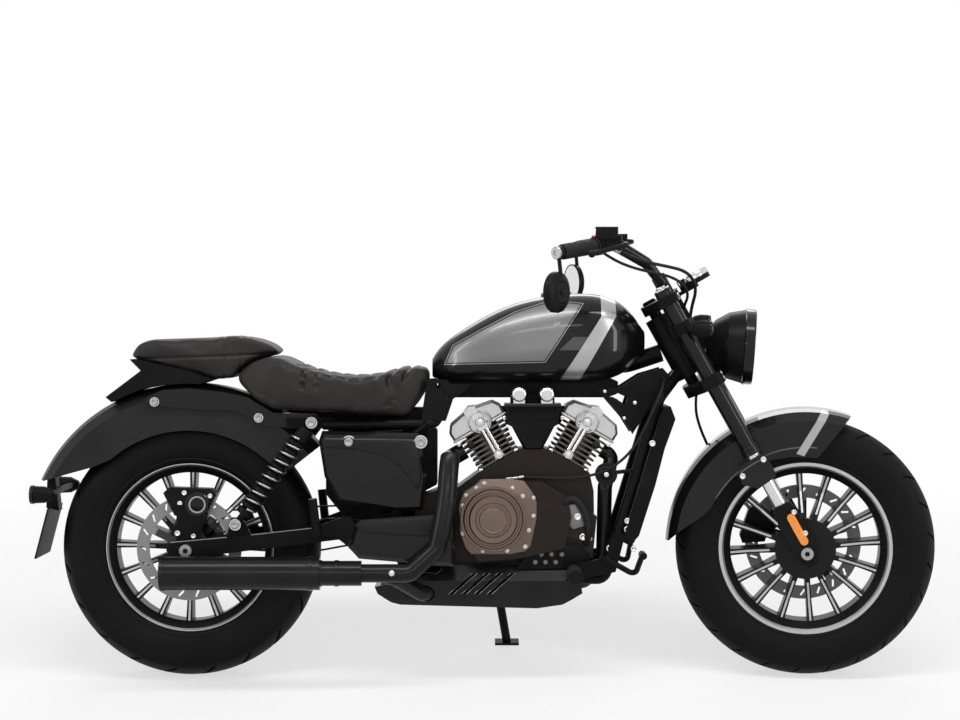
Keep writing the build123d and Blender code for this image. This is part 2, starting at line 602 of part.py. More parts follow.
def make_exhaust():
    rear = bent(REAR_PIPE, REAR_PIPE_R, 26)
    front = bent(FRONT_PIPE, FRONT_PIPE_R, 20)
    CHASSIS["exhaust_headers"] = rear + front
    joint_x = -330 - CLEAR
    can = bar((joint_x, MUFFLER_Y, MUFFLER_Z), (-450, MUFFLER_Y, MUFFLER_Z), 30)
    can += bar((-430, MUFFLER_Y, MUFFLER_Z), (-812, MUFFLER_Y, MUFFLER_Z), 40)
    can -= bar((-800, MUFFLER_Y, MUFFLER_Z), (-830, MUFFLER_Y, MUFFLER_Z), 30)
    can += block(-470, -440, -176, -124.3, 262, 300)
    CHASSIS["muffler"] = can


def make_belly_pan():
    side = [(-303, 231), (-296, 214), (-262, 192), (-240, 186), (-39, 180), (93, 176), (156, 186), (204, 215),
            (196, 262), (156, 282), (-131, 282), (-150, 262)]
    inner_side = [(-290, 240), (-286, 220), (-256, 197), (-39, 185), (93, 181), (152, 191), (204, 217.5),
                  (214, 217.5), (214, 300), (-200, 300)]
    section = [(-104, 284), (-126, 245), (-126, 200), (-104, 170), (104, 170), (126, 200), (126, 245), (104, 284)]
    inner = [(-99, 290), (-121, 243), (-121, 202), (-101, 175), (101, 175), (121, 202), (121, 243), (99, 290)]
    pan = prism(side, -130, 130) & cross_prism(section, -310, 210)
    pan -= prism(inner_side, -130, 130) & cross_prism(inner, -320, 220)
    for i in range(4):
        x = -123 + 31 * i
        for cut_side in (-1, 1):
            pan -= prism([(x, 213), (x + 58, 262), (x + 70, 262), (x + 12, 213)], cut_side * 90, cut_side * 140)
    for start, end in zip(FRONT_PIPE[5:7], FRONT_PIPE[6:8]):
        pan -= bar(start, end, FRONT_PIPE_R + 3)
    pan -= Pos(*FRONT_PIPE[6]) * Sphere(FRONT_PIPE_R + 3)
    for side in (-1, 1):
        for x in (-90, 100):
            pan += cross_bar(x, RAIL_Z, side * (RAIL_Y + FRAME_TUBE_R + CLEAR), side * 121, 7)
    pan -= block(STAND_PIVOT[0] - 13, STAND_PIVOT[0] + 13, 90, 140, 255, 290)
    CHASSIS["belly_pan"] = pan


# ---------------------------------------------------------------- bodywork
def section_at(x, z0, z1, half, corner):
    """A rounded section across the bike."""
    place = Plane(origin=(x, 0, (z0 + z1) / 2), x_dir=(0, 1, 0), z_dir=(1, 0, 0))
    return place * RectangleRounded(2 * half, z1 - z0, corner)


CAP_X = 146.0
CAP_SEAT_Z = 947.0


def make_tank():
    # x, bottom, top, half width, corner radius
    stations = [
        (-164, 742, 786, 44, 20), (-112, 729, 842, 88, 44), (-31, 728, 892, 122, 66), (67, 728, 930, 140, 80),
        (180, 730, 946, 145, 84), (270, 736, 938, 126, 78), (334, 772, 892, 82, 50), (362, 806, 854, 40, 22)]
    tank = loft([section_at(*row) for row in stations])
    tunnel = [(-170, 700), (380, 700), (380, 814), (300, 814), (250, 800), (-170, 786)]
    tank -= prism(tunnel, -27, 27)
    CHASSIS["fuel_tank"] = tank + bar((CAP_X, 0, 915), (CAP_X, 0, CAP_SEAT_Z), 41)
    cap = bar((CAP_X, 0, CAP_SEAT_Z + CLEAR), (CAP_X, 0, CAP_SEAT_Z + 5), 38)
    CHASSIS["tank_cap"] = cap + Pos(CAP_X, 0, CAP_SEAT_Z + 7.5) * Cone(38, 31, 5)


def make_seats():
    rider = [(-219, 648), (-205, 671), (-176, 720), (-170, 756), (-183, 771), (-214, 768), (-253, 758),
             (-285, 747), (-324, 741), (-368, 740), (-417, 746), (-477, 762), (-531, 789), (-566, 794),
             (-604, 782), (-642, 752), (-640, 734), (-593, 687), (-560, 667), (-395, 659)]
    plan = Polyline((-660, -95), (-600, -128), (-500, -158), (-400, -165), (-300, -150), (-220, -105),
                    (-168, -72), (-168, 72), (-220, 105), (-300, 150), (-400, 165), (-500, 158),
                    (-600, 128), (-660, 95), close=True)
    outline = extrude(Pos(0, 0, 600) * make_face(plan), 260)
    cushion = prism(rider, -170, 170) & outline
    cushion -= at_wheel(cross_bar(0, 0, -180, 180, FENDER_R + CLEAR), REAR_AXLE)
    CHASSIS["rider_seat"] = cushion
    pillion = [(-912, 790), (-889, 822), (-857, 830), (-702, 835), (-647, 840), (-592, 832), (-560, 821),
               (-532, 798), (-566, 797), (-606, 785), (-640, 758), (-650, 742), (-675, 737), (-752, 756),
               (-889, 786)]
    plan = Polyline((-915, -60), (-880, -96), (-700, -112), (-580, -110), (-530, -84), (-530, 84),
                    (-580, 110), (-700, 112), (-880, 96), (-915, 60), close=True)
    outline = extrude(Pos(0, 0, 600) * make_face(plan), 260)
    CHASSIS["pillion_seat"] = prism(pillion, -120, 120) & outline


FENDER_R = 405.0
FENDER_HALF = 92.0


def make_rear_fender():
    wall = 4.0
    ridge = [(375, FENDER_HALF), (396, FENDER_HALF - 22), (FENDER_R, FENDER_HALF - 48)]
    side = [(290, FENDER_HALF)] + ridge
    inner = [(290, FENDER_HALF - wall), (373, FENDER_HALF - wall)] + [(r - wall, y) for r, y in ridge[1:]]
    outline = side + [(r, -y) for r, y in reversed(side)]
    hollow = [(r, -y) for r, y in inner] + list(reversed(inner))
    shell = ring(outline + hollow)
    keep = around((0, 0), [(38, 288), (60, 290), (90, 288), (130, 288), (140, 310), (147.5, 344),
                           (155.4, 396), (156, 420), (140, 500), (100, 520), (60, 500), (38, 420)])
    CHASSIS["rear_fender"] = at_wheel(shell & prism(keep, -110, 110), REAR_AXLE)
    struts = []
    outline = [(-873, 680), (-858, 695), (-823, 710), (-757, 714), (-682, 706), (-615, 692), (-552, 654),
               (-448, 652), (-437, 640), (-437, 622), (-454, 612), (-535, 620), (-581, 623), (-598, 640),
               (-650, 660), (-707, 660), (-822, 669)]
    for side in (-1, 1):
        strut = prism(outline, side * (FENDER_HALF + CLEAR), side * 103)
        strut += cross_bar(SHOCK_TOP[0], SHOCK_TOP[1], side * 102, side * 150, 7)
        strut += cross_bar(SHOCK_TOP[0], SHOCK_TOP[1], side * 144.3, side * 151, 12)
        struts.append(strut)
    CHASSIS["fender_struts"] = struts
    tail = prism([(-906, 785), (-879, 757), (-965, 692), (-950, 680), (-877, 712), (-812, 722), (-740, 722),
                  (-700, 736), (-752, 755.5), (-889, 785.5)], -92, 92)
    tail -= at_wheel(cross_bar(0, 0, -120, 120, FENDER_R + CLEAR), REAR_AXLE)
    CHASSIS["tail_piece"] = tail


def make_plate_and_lamps():
    seat = FENDER_R - 4 - CLEAR
    arm = prism(around(REAR_AXLE, [(149, seat), (153.5, seat)]) + [(-1124, 415), (-1092, 408)], -22, 22)
    plate = prism([(-1104, 418), (-1108, 419), (-1140, 296), (-1136, 295)], -92, 92)
    stem = cross_bar(-1095, 459, -160, 160, 7)
    CHASSIS["tail_piece"] = [CHASSIS["tail_piece"], arm + plate + stem]
    lamps = []
    for side in (-1, 1):
        outline = [(0, 30), (10, 26), (20, 6), (21, -18), (18, -28), (0, -28)]
        face = make_face(Polyline(*[(x, 0, r) for r, x in outline], close=True))
        bullet = Pos(-1104, side * 172, 459) * revolve(face, axis=Axis.X)
        lamps.append(bullet - cross_bar(-1095, 459, -160, 160, 7 + CLEAR))
    CHASSIS["rear_indicators"] = lamps


def make_side_covers():
    covers = []
    right = [(-430, 611), (-438, 588), (-424, 500), (-388, 440), (-252, 418), (-186, 420), (-176, 500),
             (-186, 560), (-196, 606)]
    for side in (-1, 1):
        cover = prism(right, side * 116, side * 146)
        peg = cross_bar(-252, 520, side * (UPRIGHT_Y + FRAME_TUBE_R + CLEAR), side * 118, 8)
        cover = peg + chamfer(cover.faces().sort_by(Axis.Y)[0 if side < 0 else -1].edges(), 8)
        covers.append(cover)
    outline = [(-349, 384), (-335, 396), (-106, 412), (-106, 282), (-340, 302), (-366, 330)]
    cover = prism(outline, -160, -134)
    covers.append(chamfer(cover.faces().sort_by(Axis.Y)[0].edges(), 10))
    CHASSIS["side_covers"] = covers


def make_foot_controls():
    pieces = []
    for side in (-1, 1):
        peg = cross_bar(182, 268, side * 140, side * 250, 17)
        peg += prism([(166, 250), (200, 250), (284, 268), (306, 352), (292, 372), (272, 352), (262, 302),
                      (166, 286)], side * 127, side * 136)
        peg += cross_bar(182, 268, side * 135, side * 141, 12)
        pedal = bent([(262, side * 144, 300), (330, side * 150, 262), (345, side * 196, 316)], 7, 16)
        peg += pedal + cross_bar(262, 300, side * 135, side * 148, 10)
        peg += cross_bar(345, 316, side * 180, side * 228, 9)
        pieces.append(peg)
    CHASSIS["foot_controls"] = pieces


def make_footrests():
    """Passenger footrests, folded up, on plates behind the swingarm pivot."""
    rests = []
    for side in (-1, 1):
        outline = [(-366.5, 330), (-349.5, 384), (-362, 404), (-392, 398), (-456, 374), (-450, 352), (-400, 356)]
        rest = prism(outline, side * 134, side * 141)
        if side > 0:
            rest += prism([(-372, 340), (-352, 392), (-288, 386), (-288, 358)], 134, 141)
        rest += cross_bar(-443, 364, side * 140, side * 164, 10)
        rest += bar((-443, side * 155, 368), (-452, side * 160, 448), 11)
        rests.append(rest)
    CHASSIS["foot_controls"] += rests


def make_horn():
    horn = cross_bar(262, 505, -126, -106, 27) + cross_bar(262, 505, -130, -125, 14)
    horn += bar((270, -112, 507), (337, -98.5, 514), 5) - bar((290, -100, 350), (394, -95, 690), FRAME_TUBE_R + CLEAR)
    CHASSIS["horn"] = horn


# cables and hoses held at both ends: points in the bike frame, upright and straight ahead
CLUTCH_CABLE = [(404, -65.2, 742), (406, -100, 734), (396, -124, 706), (378, -132, 666), (356, -136, 620),
                (332, -138, 574), (294, -139, 534), (246, -136, 508), (196, -128, 497), (146, -120, 495),
                (98, -112, 496), (52, -108, 497), (14, -106, 490), (-14, -104, 472), (-28, -104, 452)]
BRAKE_HOSE = [(298, -262, 1062), (334, -256, 1046), (378, -240, 1030), (424, -212, 1020), (462, -176, 1010),
              (486, -136, 988), (492, -98, 956), (482, -68, 920), (476, -54, 880), (486, -50, 838),
              (508, -50, 798), (534.7, -50, 756)]
THROTTLE_CABLES = [(269, -257, 1055), (296, -246, 1036), (338, -226, 1018), (384, -200, 1006), (428, -168, 996),
                   (462, -136, 976), (474, -110, 948), (462, -74, 918), (458, -46, 878), (470, -34, 836),
                   (494, -32, 794), (524.2, -32, 750)]
CALIPER_HOSE = [(494.6, 36, 700), (491, 54, 660), (500, 74, 616), (518, 90, 570), (542, 97, 524), (570, 97, 478),
                (598, 94, 438), (632, 86, 398)]
WATER_HOSE = [(150, -102, 418), (154, -128, 434), (182, -136, 450), (206, -136, 424), (217, -134, 388),
              (220, -126, 354), (212, -102, 334)]


def make_cords():
    cable = cord("clutch_cable", CLUTCH_CABLE, 3.5)
    CHASSIS["clutch_cable"] = cable - CHASSIS["crankcase"]
    housing = STEERING["hand_controls"][0]
    for name, points, radius in (("brake_hose", BRAKE_HOSE, 4.0), ("throttle_cables", THROTTLE_CABLES, 3.5)):
        STEERING[name] = cord(name, points, radius) - housing - STEERING["yokes"]
    hose = cord("caliper_hose", CALIPER_HOSE, 3.5)
    STEERING["caliper_hose"] = hose - STEERING["front_caliper"] - STEERING["yokes"]
    hose = cord("water_hose", WATER_HOSE, 9.0)
    CHASSIS["water_hose"] = hose - CHASSIS["crankcase"]


def make_belt():
    rear = (REAR_AXLE[0], REAR_AXLE[1], 74.5 + CLEAR)
    front = (-180, 385, 34 + CLEAR)
    span = Vector(front[0] - rear[0], 0, front[1] - rear[1])
    slope = math.degrees(math.atan2(span.Z, span.X))
    spread = math.degrees(math.acos((rear[2] - front[2]) / span.length))

    def hull(extra):
        top_rear = Vector(*polar(slope + spread, rear[2] + extra))
        top_front = Vector(*polar(slope + spread, front[2] + extra))
        low_rear = Vector(*polar(slope - spread, rear[2] + extra))
        low_front = Vector(*polar(slope - spread, front[2] + extra))
        quad = [(rear[0] + top_rear.X, rear[1] + top_rear.Y), (front[0] + top_front.X, front[1] + top_front.Y),
                (front[0] + low_front.X, front[1] + low_front.Y), (rear[0] + low_rear.X, rear[1] + low_rear.Y)]
        body = prism(quad, 82, 94)
        body += cross_bar(rear[0], rear[1], 82, 94, rear[2] + extra)
        return body + cross_bar(front[0], front[1], 82, 94, front[2] + extra)

    loop = hull(4) - hull(0)
    spans = [(-900, -745), (-745, -185), (-185, -100)]  # rear arc, both straight runs, front arc
    CHASSIS["drive_belt"] = [loop & block(x0, x1, 80, 96, 200, 460) for x0, x1 in spans]


# ---------------------------------------------------------------- side stand
STAND_PIVOT = (-20.0, 140.0, 304.0)
STAND_FOOT = (24.0, 246.0)  # X and Y of the pad's centre
STAND_FOLDED = (-0.985, 0.02, -0.17)  # direction of the leg when folded


STAND_PIN_R = 7.0
STAND_EYE_HALF = 14.0


def on_hinge(distance):
    """A point on the stand's hinge line, measured outwards from its middle."""
    spot = Vector(*STAND_PIVOT) + Vector(*stand_axis()) * distance
    return (spot.X, spot.Y, spot.Z)


def make_stand():
    """The leg, from its hinge to a pad that lies on the road when the bike leans."""
    foot_z = road_height(*STAND_FOOT)
    low = (STAND_FOOT[0], STAND_FOOT[1] - 2, foot_z + 4)
    leg = bar(STAND_PIVOT, low, 11) + bar(on_hinge(-STAND_EYE_HALF), on_hinge(STAND_EYE_HALF), 16)
    leg -= bar(on_hinge(-30), on_hinge(30), STAND_PIN_R + RUN)
    flat = Rot(LEAN, 0, 0) * Rot(0, -PITCH, 0)
    base = Pos(STAND_FOOT[0], STAND_FOOT[1], foot_z) * flat
    pad = base * Box(62, 40, 6, align=(Align.CENTER, Align.CENTER, Align.MIN))
    below = base * Box(200, 200, 60, align=(Align.CENTER, Align.CENTER, Align.MAX))
    STAND["side_stand"] = leg + pad - below


def make_stand_mount():
    """Arm, flange and hinge pin on the left rail."""
    near = STAND_EYE_HALF + 0.6
    mount = bar((STAND_PIVOT[0], RAIL_Y, RAIL_Z), on_hinge(-near - 8), 10)
    mount += bar(on_hinge(-near - 9), on_hinge(-near), 17)
    mount += bar(on_hinge(-near - 2), on_hinge(near + 2), STAND_PIN_R)
    return mount + bar(on_hinge(near), on_hinge(near + 5), 11)


def stand_axis():
    """The hinge is square to both the lowered and the folded leg."""
    lowered = Vector(STAND_FOOT[0], STAND_FOOT[1], road_height(*STAND_FOOT)) - Vector(*STAND_PIVOT)
    axis = lowered.cross(Vector(*STAND_FOLDED)).normalized()
    return (axis.X, axis.Y, axis.Z)


# ---------------------------------------------------------------- placing
STEER_AT = FORK * Pos(-FORK_OFFSET, 0, 0)
STEERED = STEER_AT * Rot(0, 0, PARKED_STEER) * STEER_AT.inverse()


def direction(place, vector):
    """A direction carried through a placement."""
    return (place * Pos(*vector)).position - place.position


def reach_below(half, axle_z):
    """How far the tyre reaches below its centre, where axle_z is its axle's slope."""
    flat = math.sqrt(1 - axle_z**2)
    return max(r * flat + y * abs(axle_z) for r, y in tyre_outline(half))


def settle():
    """Pitch and height that put both leaning tyres on the road."""
    lean = Rot(-LEAN, 0, 0)
    front = lean * STEERED * Pos(FRONT_AXLE[0], 0, FRONT_AXLE[1])
    rear = lean * Pos(REAR_AXLE[0], 0, REAR_AXLE[1])
    front_reach = reach_below(FRONT_TYRE_HALF, direction(lean * STEERED, (0, 1, 0)).Z)
    rear_reach = reach_below(REAR_TYRE_HALF, direction(lean, (0, 1, 0)).Z)
    rise = (front.position.Z - front_reach) - (rear.position.Z - rear_reach)
    pitch = math.degrees(math.asin(rise / (front.position.X - rear.position.X)))
    settled = Rot(0, pitch, 0) * lean
    height = rear_reach - (settled * Pos(REAR_AXLE[0], 0, REAR_AXLE[1])).position.Z
    return pitch, Pos(0, 0, height) * settled


PITCH, STANDING = settle()


def road_height(x, y):
    """Height in the upright bike frame of the road under a place, once the bike leans."""
    to_road = (STANDING * Pos(x, y, 0)).position.Z
    rise = direction(STANDING, (0, 0, 1)).Z
    return -to_road / rise


def solids_of(shape):
    items = shape if isinstance(shape, (list, ShapeList)) else [shape]
    return [solid for item in items for solid in item.solids()]


def main():
    make_wheels()
    make_fork()
    make_yokes()
    make_controls()
    make_lamps()
    make_front_fender()
    make_front_brake()
    make_frame()
    make_swingarm()
    make_shocks()
    make_engine()
    make_radiator()
    make_exhaust()
    make_belly_pan()
    make_tank()
    make_seats()
    make_rear_fender()
    make_plate_and_lamps()
    make_side_covers()
    make_foot_controls()
    make_footrests()
    make_horn()
    make_cords()
    make_belt()
    make_stand()

    placed = {}
    for body, place in ((CHASSIS, STANDING), (REAR_WHEEL, STANDING), (STAND, STANDING),
                        (STEERING, STANDING * STEERED), (FRONT_WHEEL, STANDING * STEERED)):
        for name, shape in body.items():
            placed[name] = [place * solid for solid in solids_of(shape)]
    box = Compound(children=[s for solids in placed.values() for s in solids]).bounding_box()
    centring = Pos(-(box.min.X + box.max.X) / 2, -(box.min.Y + box.max.Y) / 2, 0)
    for name, solids in placed.items():
        export_step(Compound([centring * s for s in solids]), f"parts/{name}.step")
    print("box", box.size, "low", box.min.Z)

    row = centring * STANDING
    for name, place, spot, axis in (
        ("steering", row, STEER_AT.position, STEER_AXIS),
        ("front wheel", row * STEERED, (FRONT_AXLE[0], 0, FRONT_AXLE[1]), (0, 1, 0)),
        ("rear wheel", row, (REAR_AXLE[0], 0, REAR_AXLE[1]), (0, 1, 0)),
        ("side stand", row, STAND_PIVOT, stand_axis()),
    ):
        anchor = (place * Pos(*spot)).position
        print("joint", name, [round(v, 3) for v in anchor], [round(v, 6) for v in direction(place, axis)])


main()
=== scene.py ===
import json
import math

import bpy
from mathutils import Matrix, Vector


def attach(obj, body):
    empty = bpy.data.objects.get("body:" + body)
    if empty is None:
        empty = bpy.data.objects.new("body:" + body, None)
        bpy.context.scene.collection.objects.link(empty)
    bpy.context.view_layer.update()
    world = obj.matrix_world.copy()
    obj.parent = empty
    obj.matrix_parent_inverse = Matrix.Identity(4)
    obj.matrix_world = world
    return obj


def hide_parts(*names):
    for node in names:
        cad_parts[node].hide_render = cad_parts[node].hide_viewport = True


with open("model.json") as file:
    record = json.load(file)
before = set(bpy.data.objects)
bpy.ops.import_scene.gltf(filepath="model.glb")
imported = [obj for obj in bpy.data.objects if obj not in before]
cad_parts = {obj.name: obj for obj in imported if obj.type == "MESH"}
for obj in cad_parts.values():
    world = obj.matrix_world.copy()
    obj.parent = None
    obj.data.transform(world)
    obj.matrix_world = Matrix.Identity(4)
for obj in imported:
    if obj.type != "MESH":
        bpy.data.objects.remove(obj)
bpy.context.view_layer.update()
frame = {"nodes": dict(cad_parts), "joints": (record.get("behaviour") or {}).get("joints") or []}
nodes = frame["nodes"]
jointPlaces = {j["name"]: j for j in frame["joints"]}
scene = bpy.context.scene

# where the bike stands: X forward, Y to the left and Z up on the bike itself
parked = {"lean": 10.0, "steer": -6.0, "rake": 29.0, "trail": 0.045, "wheelbase": 1.525, "hub": 0.32}


def parkedPlaces():
    axle = jointPlaces["rear_wheel_spin"]
    lean = math.radians(parked["lean"])
    pitch = math.asin(-axle["axis"][0] / math.sin(lean))
    turn = Matrix.Rotation(pitch, 4, "Y") @ Matrix.Rotation(-lean, 4, "X")
    rear = Vector((-parked["wheelbase"] / 2, 0, parked["hub"]))
    bike = Matrix.Translation(Vector(axle["pos_m"]) - turn @ rear) @ turn
    rake = math.radians(parked["rake"])
    fork = Matrix.Translation((parked["wheelbase"] / 2, 0, parked["hub"])) @ Matrix.Rotation(-rake, 4, "Y")
    stem = fork @ Vector((-parked["trail"], 0, 0))
    axis = Vector((-math.sin(rake), 0, math.cos(rake)))
    steer = Matrix.Rotation(math.radians(parked["steer"]), 4, axis)
    steered = Matrix.Translation(stem) @ steer @ Matrix.Translation(-stem)
    return bike, bike @ steered, bike @ steered @ fork


bikePlace, steeredPlace, forkPlace = parkedPlaces()
rearHub = bikePlace @ Matrix.Translation((-parked["wheelbase"] / 2, 0, parked["hub"]))
frontHub = steeredPlace @ Matrix.Translation((parked["wheelbase"] / 2, 0, parked["hub"]))


class Wire:
    def __init__(self, shader, socket):
        self.shader = shader
        self.socket = socket

    def maths(self, operation, other=None, third=None, clamp=False):
        values = {0: self}
        if other is not None:
            values[1] = other
        if third is not None:
            values[2] = third
        return self.shader.node("ShaderNodeMath", {"operation": operation, "use_clamp": clamp}, values)

    def __add__(self, other):
        return self.maths("ADD", other)

    def __radd__(self, other):
        return self.maths("ADD", other)

    def __sub__(self, other):
        return self.maths("SUBTRACT", other)

    def __rsub__(self, other):
        return self.shader.node("ShaderNodeMath", {"operation": "SUBTRACT"}, {0: other, 1: self})

    def __mul__(self, other):
        return self.maths("MULTIPLY", other)

    def __rmul__(self, other):
        return self.maths("MULTIPLY", other)

    def __truediv__(self, other):
        return self.maths("DIVIDE", other)

    def __abs__(self):
        return self.maths("ABSOLUTE")

    def most(self, other):
        return self.maths("MAXIMUM", other)

    def step(self, low, high):  # 0 below low, 1 above high, straight between
        return ((self - low) / (high - low)).maths("ADD", 0.0, clamp=True)

    def repeat(self, length):  # 0 to 1 along each length
        return (self / length).maths("FRACT")


class Shader:
    def __init__(self, name, **sockets):
        self.material = bpy.data.materials.new(name)
        self.material.use_nodes = True
        self.tree = self.material.node_tree
        self.surface = self.tree.nodes["Principled BSDF"]
        for label, value in sockets.items():
            self.surface.inputs[label.replace("_", " ")].default_value = value
        self.places = {}

    def put(self, target, value):
        if isinstance(value, Wire):
            self.tree.links.new(value.socket, target)
        else:
            target.default_value = value

    def node(self, kind, settings, values, output=0):
        made = self.tree.nodes.new(kind)
        for label, value in settings.items():
            if label == "stops":
                ramp = made.color_ramp
                for i, (at, colour) in enumerate(value):
                    stop = ramp.elements[i] if i < 2 else ramp.elements.new(at)
                    stop.position = at
                    stop.color = colour
            else:
                setattr(made, label, value)
        for label, value in values.items():
            self.put(made.inputs[label], value)
        return Wire(self, made.outputs[output])

    def here(self, place=None):
        key = "row" if place is None else str(place)
        if key not in self.places:
            spot = self.node("ShaderNodeTexCoord", {}, {}, "Object")
            if place is not None:
                back = place.inverted()
                spot = self.node("ShaderNodeMapping", {"vector_type": "POINT"}, {
                    "Vector": spot, "Location": back.to_translation(), "Rotation": back.to_euler()})
            self.places[key] = spot
        return self.places[key]

    def along(self, place=None):  # x, y and z as three wires
        split = self.node("ShaderNodeSeparateXYZ", {}, {0: self.here(place)})
        return [Wire(self, split.socket.node.outputs[i]) for i in range(3)]

    def noise(self, scale, detail=3.0, roughness=0.55, place=None, stretch=None):
        spot = self.here(place)
        if stretch is not None:
            spot = self.node("ShaderNodeVectorMath", {"operation": "MULTIPLY"}, {0: spot, 1: stretch})
        return self.node("ShaderNodeTexNoise", {}, {
            "Vector": spot, "Scale": scale, "Detail": detail, "Roughness": roughness})

    def cells(self, scale, feature="F1", place=None, output="Distance"):
        return self.node("ShaderNodeTexVoronoi", {"feature": feature}, {
            "Vector": self.here(place), "Scale": scale}, output)

    def blend(self, mask, low, high):
        made = self.node("ShaderNodeMix", {"data_type": "RGBA"}, {0: mask}, 2)
        self.put(made.socket.node.inputs[6], low)
        self.put(made.socket.node.inputs[7], high)
        return made

    def feed(self, **sockets):
        for label, value in sockets.items():
            self.put(self.surface.inputs[label.replace("_", " ")], value)

    def bump(self, height, distance=0.001, strength=1.0, normal=None):
        values = {"Height": height, "Distance": distance, "Strength": strength}
        if normal is not None:
            values["Normal"] = normal
        return self.node("ShaderNodeBump", {}, values)


def shade(grey, warm=0.0):
    return (grey * (1 + warm), grey, grey * (1 - warm), 1.0)


view = {"distance": 5.5, "x": -0.046, "height": 0.857, "focal": 82.66, "shift": -0.03125}


def addCamera():
    data = bpy.data.cameras.new("camera")
    camera = bpy.data.objects.new("camera", data)
    scene.collection.objects.link(camera)
    place = bikePlace @ Matrix.Translation((view["x"], -view["distance"], view["height"]))
    camera.matrix_world = place @ Matrix.Rotation(math.radians(90), 4, "X")
    data.sensor_width = 36.0
    data.lens = view["focal"]
    data.shift_y = view["shift"]
    data.clip_end = 200
    scene.camera = camera


lampTable = [
    # name, place, aim, size, watts
    ("overhead", (0.1, -1.1, 3.0), (0, 0, 0.5), (3.6, 0.35), 60),
    ("front strip", (2.9, -1.8, 1.5), (0.5, 0, 0.5), (0.3, 2.2), 26),
    ("rear strip", (-2.9, -1.6, 1.5), (-0.5, 0, 0.5), (0.3, 2.2), 22),
    ("near fill", (0.0, -4.6, 2.4), (0, 0, 0.45), (3.2, 0.35), 26),
    ("far edge", (0.0, 2.6, 2.2), (0, 0, 0.7), (3.2, 0.8), 30),
]


def addLamps():
    for name, spot, aim, size, watts in lampTable:
        data = bpy.data.lights.new(name, "AREA")
        data.shape = "RECTANGLE"
        data.size, data.size_y = size
        data.energy = watts
        lamp = bpy.data.objects.new(name, data)
        scene.collection.objects.link(lamp)
        lamp.location = spot
        lamp.rotation_mode = "QUATERNION"
        lamp.rotation_quaternion = (Vector(aim) - Vector(spot)).to_track_quat("-Z", "Y")


def backgroundShare(tree):
    rays = tree.nodes.new("ShaderNodeLightPath")
    share = None
    for label in ("Is Camera Ray", "Is Glossy Ray", "Is Transmission Ray"):
        if share is None:
            share = rays.outputs[label]
            continue
        more = tree.nodes.new("ShaderNodeMath")
        more.operation = "MAXIMUM"
        tree.links.new(share, more.inputs[0])
        tree.links.new(rays.outputs[label], more.inputs[1])
        share = more.outputs[0]
    return share


def addWorld():
    world = bpy.data.worlds.new("studio")
    scene.world = world
    world.use_nodes = True
    tree = world.node_tree
    tree.nodes.clear()
    soft = tree.nodes.new("ShaderNodeBackground")
    soft.inputs["Color"].default_value = (0.30, 0.30, 0.305, 1)
    plain = tree.nodes.new("ShaderNodeBackground")
    plain.inputs["Color"].default_value = (1, 1, 1, 1)
    mix = tree.nodes.new("ShaderNodeMixShader")
    tree.links.new(backgroundShare(tree), mix.inputs[0])
    tree.links.new(soft.outputs[0], mix.inputs[1])
    tree.links.new(plain.outputs[0], mix.inputs[2])
    out = tree.nodes.new("ShaderNodeOutputWorld")
    tree.links.new(mix.outputs[0], out.inputs[0])


floorLook = {"size": 60, "paper": 0.86, "near": 1.1, "far": 2.6, "stretch": 1.6, "least": 0.62}


def addFloor():
    bpy.ops.object.select_all(action="DESELECT")
    bpy.ops.mesh.primitive_plane_add(size=floorLook["size"])
    floor = bpy.context.active_object
    floor.name = "floor"
    paper = Shader("floorPaper", Base_Color=shade(floorLook["paper"]), Roughness=0.8, Specular_IOR_Level=0.1)
    x, y, z = paper.along()
    far = (x * x + y * y * floorLook["stretch"]).maths("SQRT").step(floorLook["near"], floorLook["far"])
    tree = paper.tree
    plain = tree.nodes.new("ShaderNodeEmission")
    mix = tree.nodes.new("ShaderNodeMixShader")
    share = Wire(paper, backgroundShare(tree)) * (floorLook["least"] + (1 - floorLook["least"]) * far)
    tree.links.new(share.socket, mix.inputs[0])
    tree.links.new(paper.surface.outputs[0], mix.inputs[1])
    tree.links.new(plain.outputs[0], mix.inputs[2])
    tree.links.new(mix.outputs[0], tree.nodes["Material Output"].inputs[0])
    floor.data.materials.append(paper.material)


addCamera()
addLamps()
addWorld()
addFloor()
scene.view_settings.view_transform = "Standard"
print("stage: camera, light and floor")


def paint(name, colour, coat=1.0, rough=0.28, flake=0.0):
    made = Shader(name, Coat_Roughness=0.02, Coat_IOR=1.24, Specular_IOR_Level=0.1)
    cloud = made.noise(7.0)
    speck = made.noise(900.0, 1.0)
    dark = tuple(c * 0.8 for c in colour[:3]) + (1.0,)
    made.feed(Base_Color=made.blend(cloud, dark, colour), Roughness=rough + 0.08 * (cloud - 0.5),
              Coat_Weight=coat - 0.06 * made.noise(40.0))
    if flake:
        made.feed(Metallic=flake)
    made.feed(Normal=made.bump(speck, 0.00002, 0.35))
    return made


def powderCoat(name, colour, rough=0.42, grain=1500.0, wear=0.0, metallic=0.0, gloss=0.2):
    made = Shader(name, Specular_IOR_Level=gloss)
    cloud = made.noise(11.0, 4.0)
    fine = made.noise(grain, 2.0)
    low = tuple(c * 0.7 for c in colour[:3]) + (1.0,)
    high = tuple(c * 1.25 + 0.002 for c in colour[:3]) + (1.0,)
    tone = made.blend((cloud * 0.7 + fine * 0.3).step(0.3, 0.7), low, high)
    if wear:
        scuffs = made.noise(60.0, 6.0, 0.7).step(0.62, 0.72) * wear
        tone = made.blend(scuffs, tone, shade(0.22))
    made.feed(Base_Color=tone, Roughness=rough + 0.16 * (cloud - 0.5) + 0.06 * (fine - 0.5))
    if metallic:
        made.feed(Metallic=metallic)
    made.feed(Normal=made.bump(fine, 0.00012, 0.5))
    return made


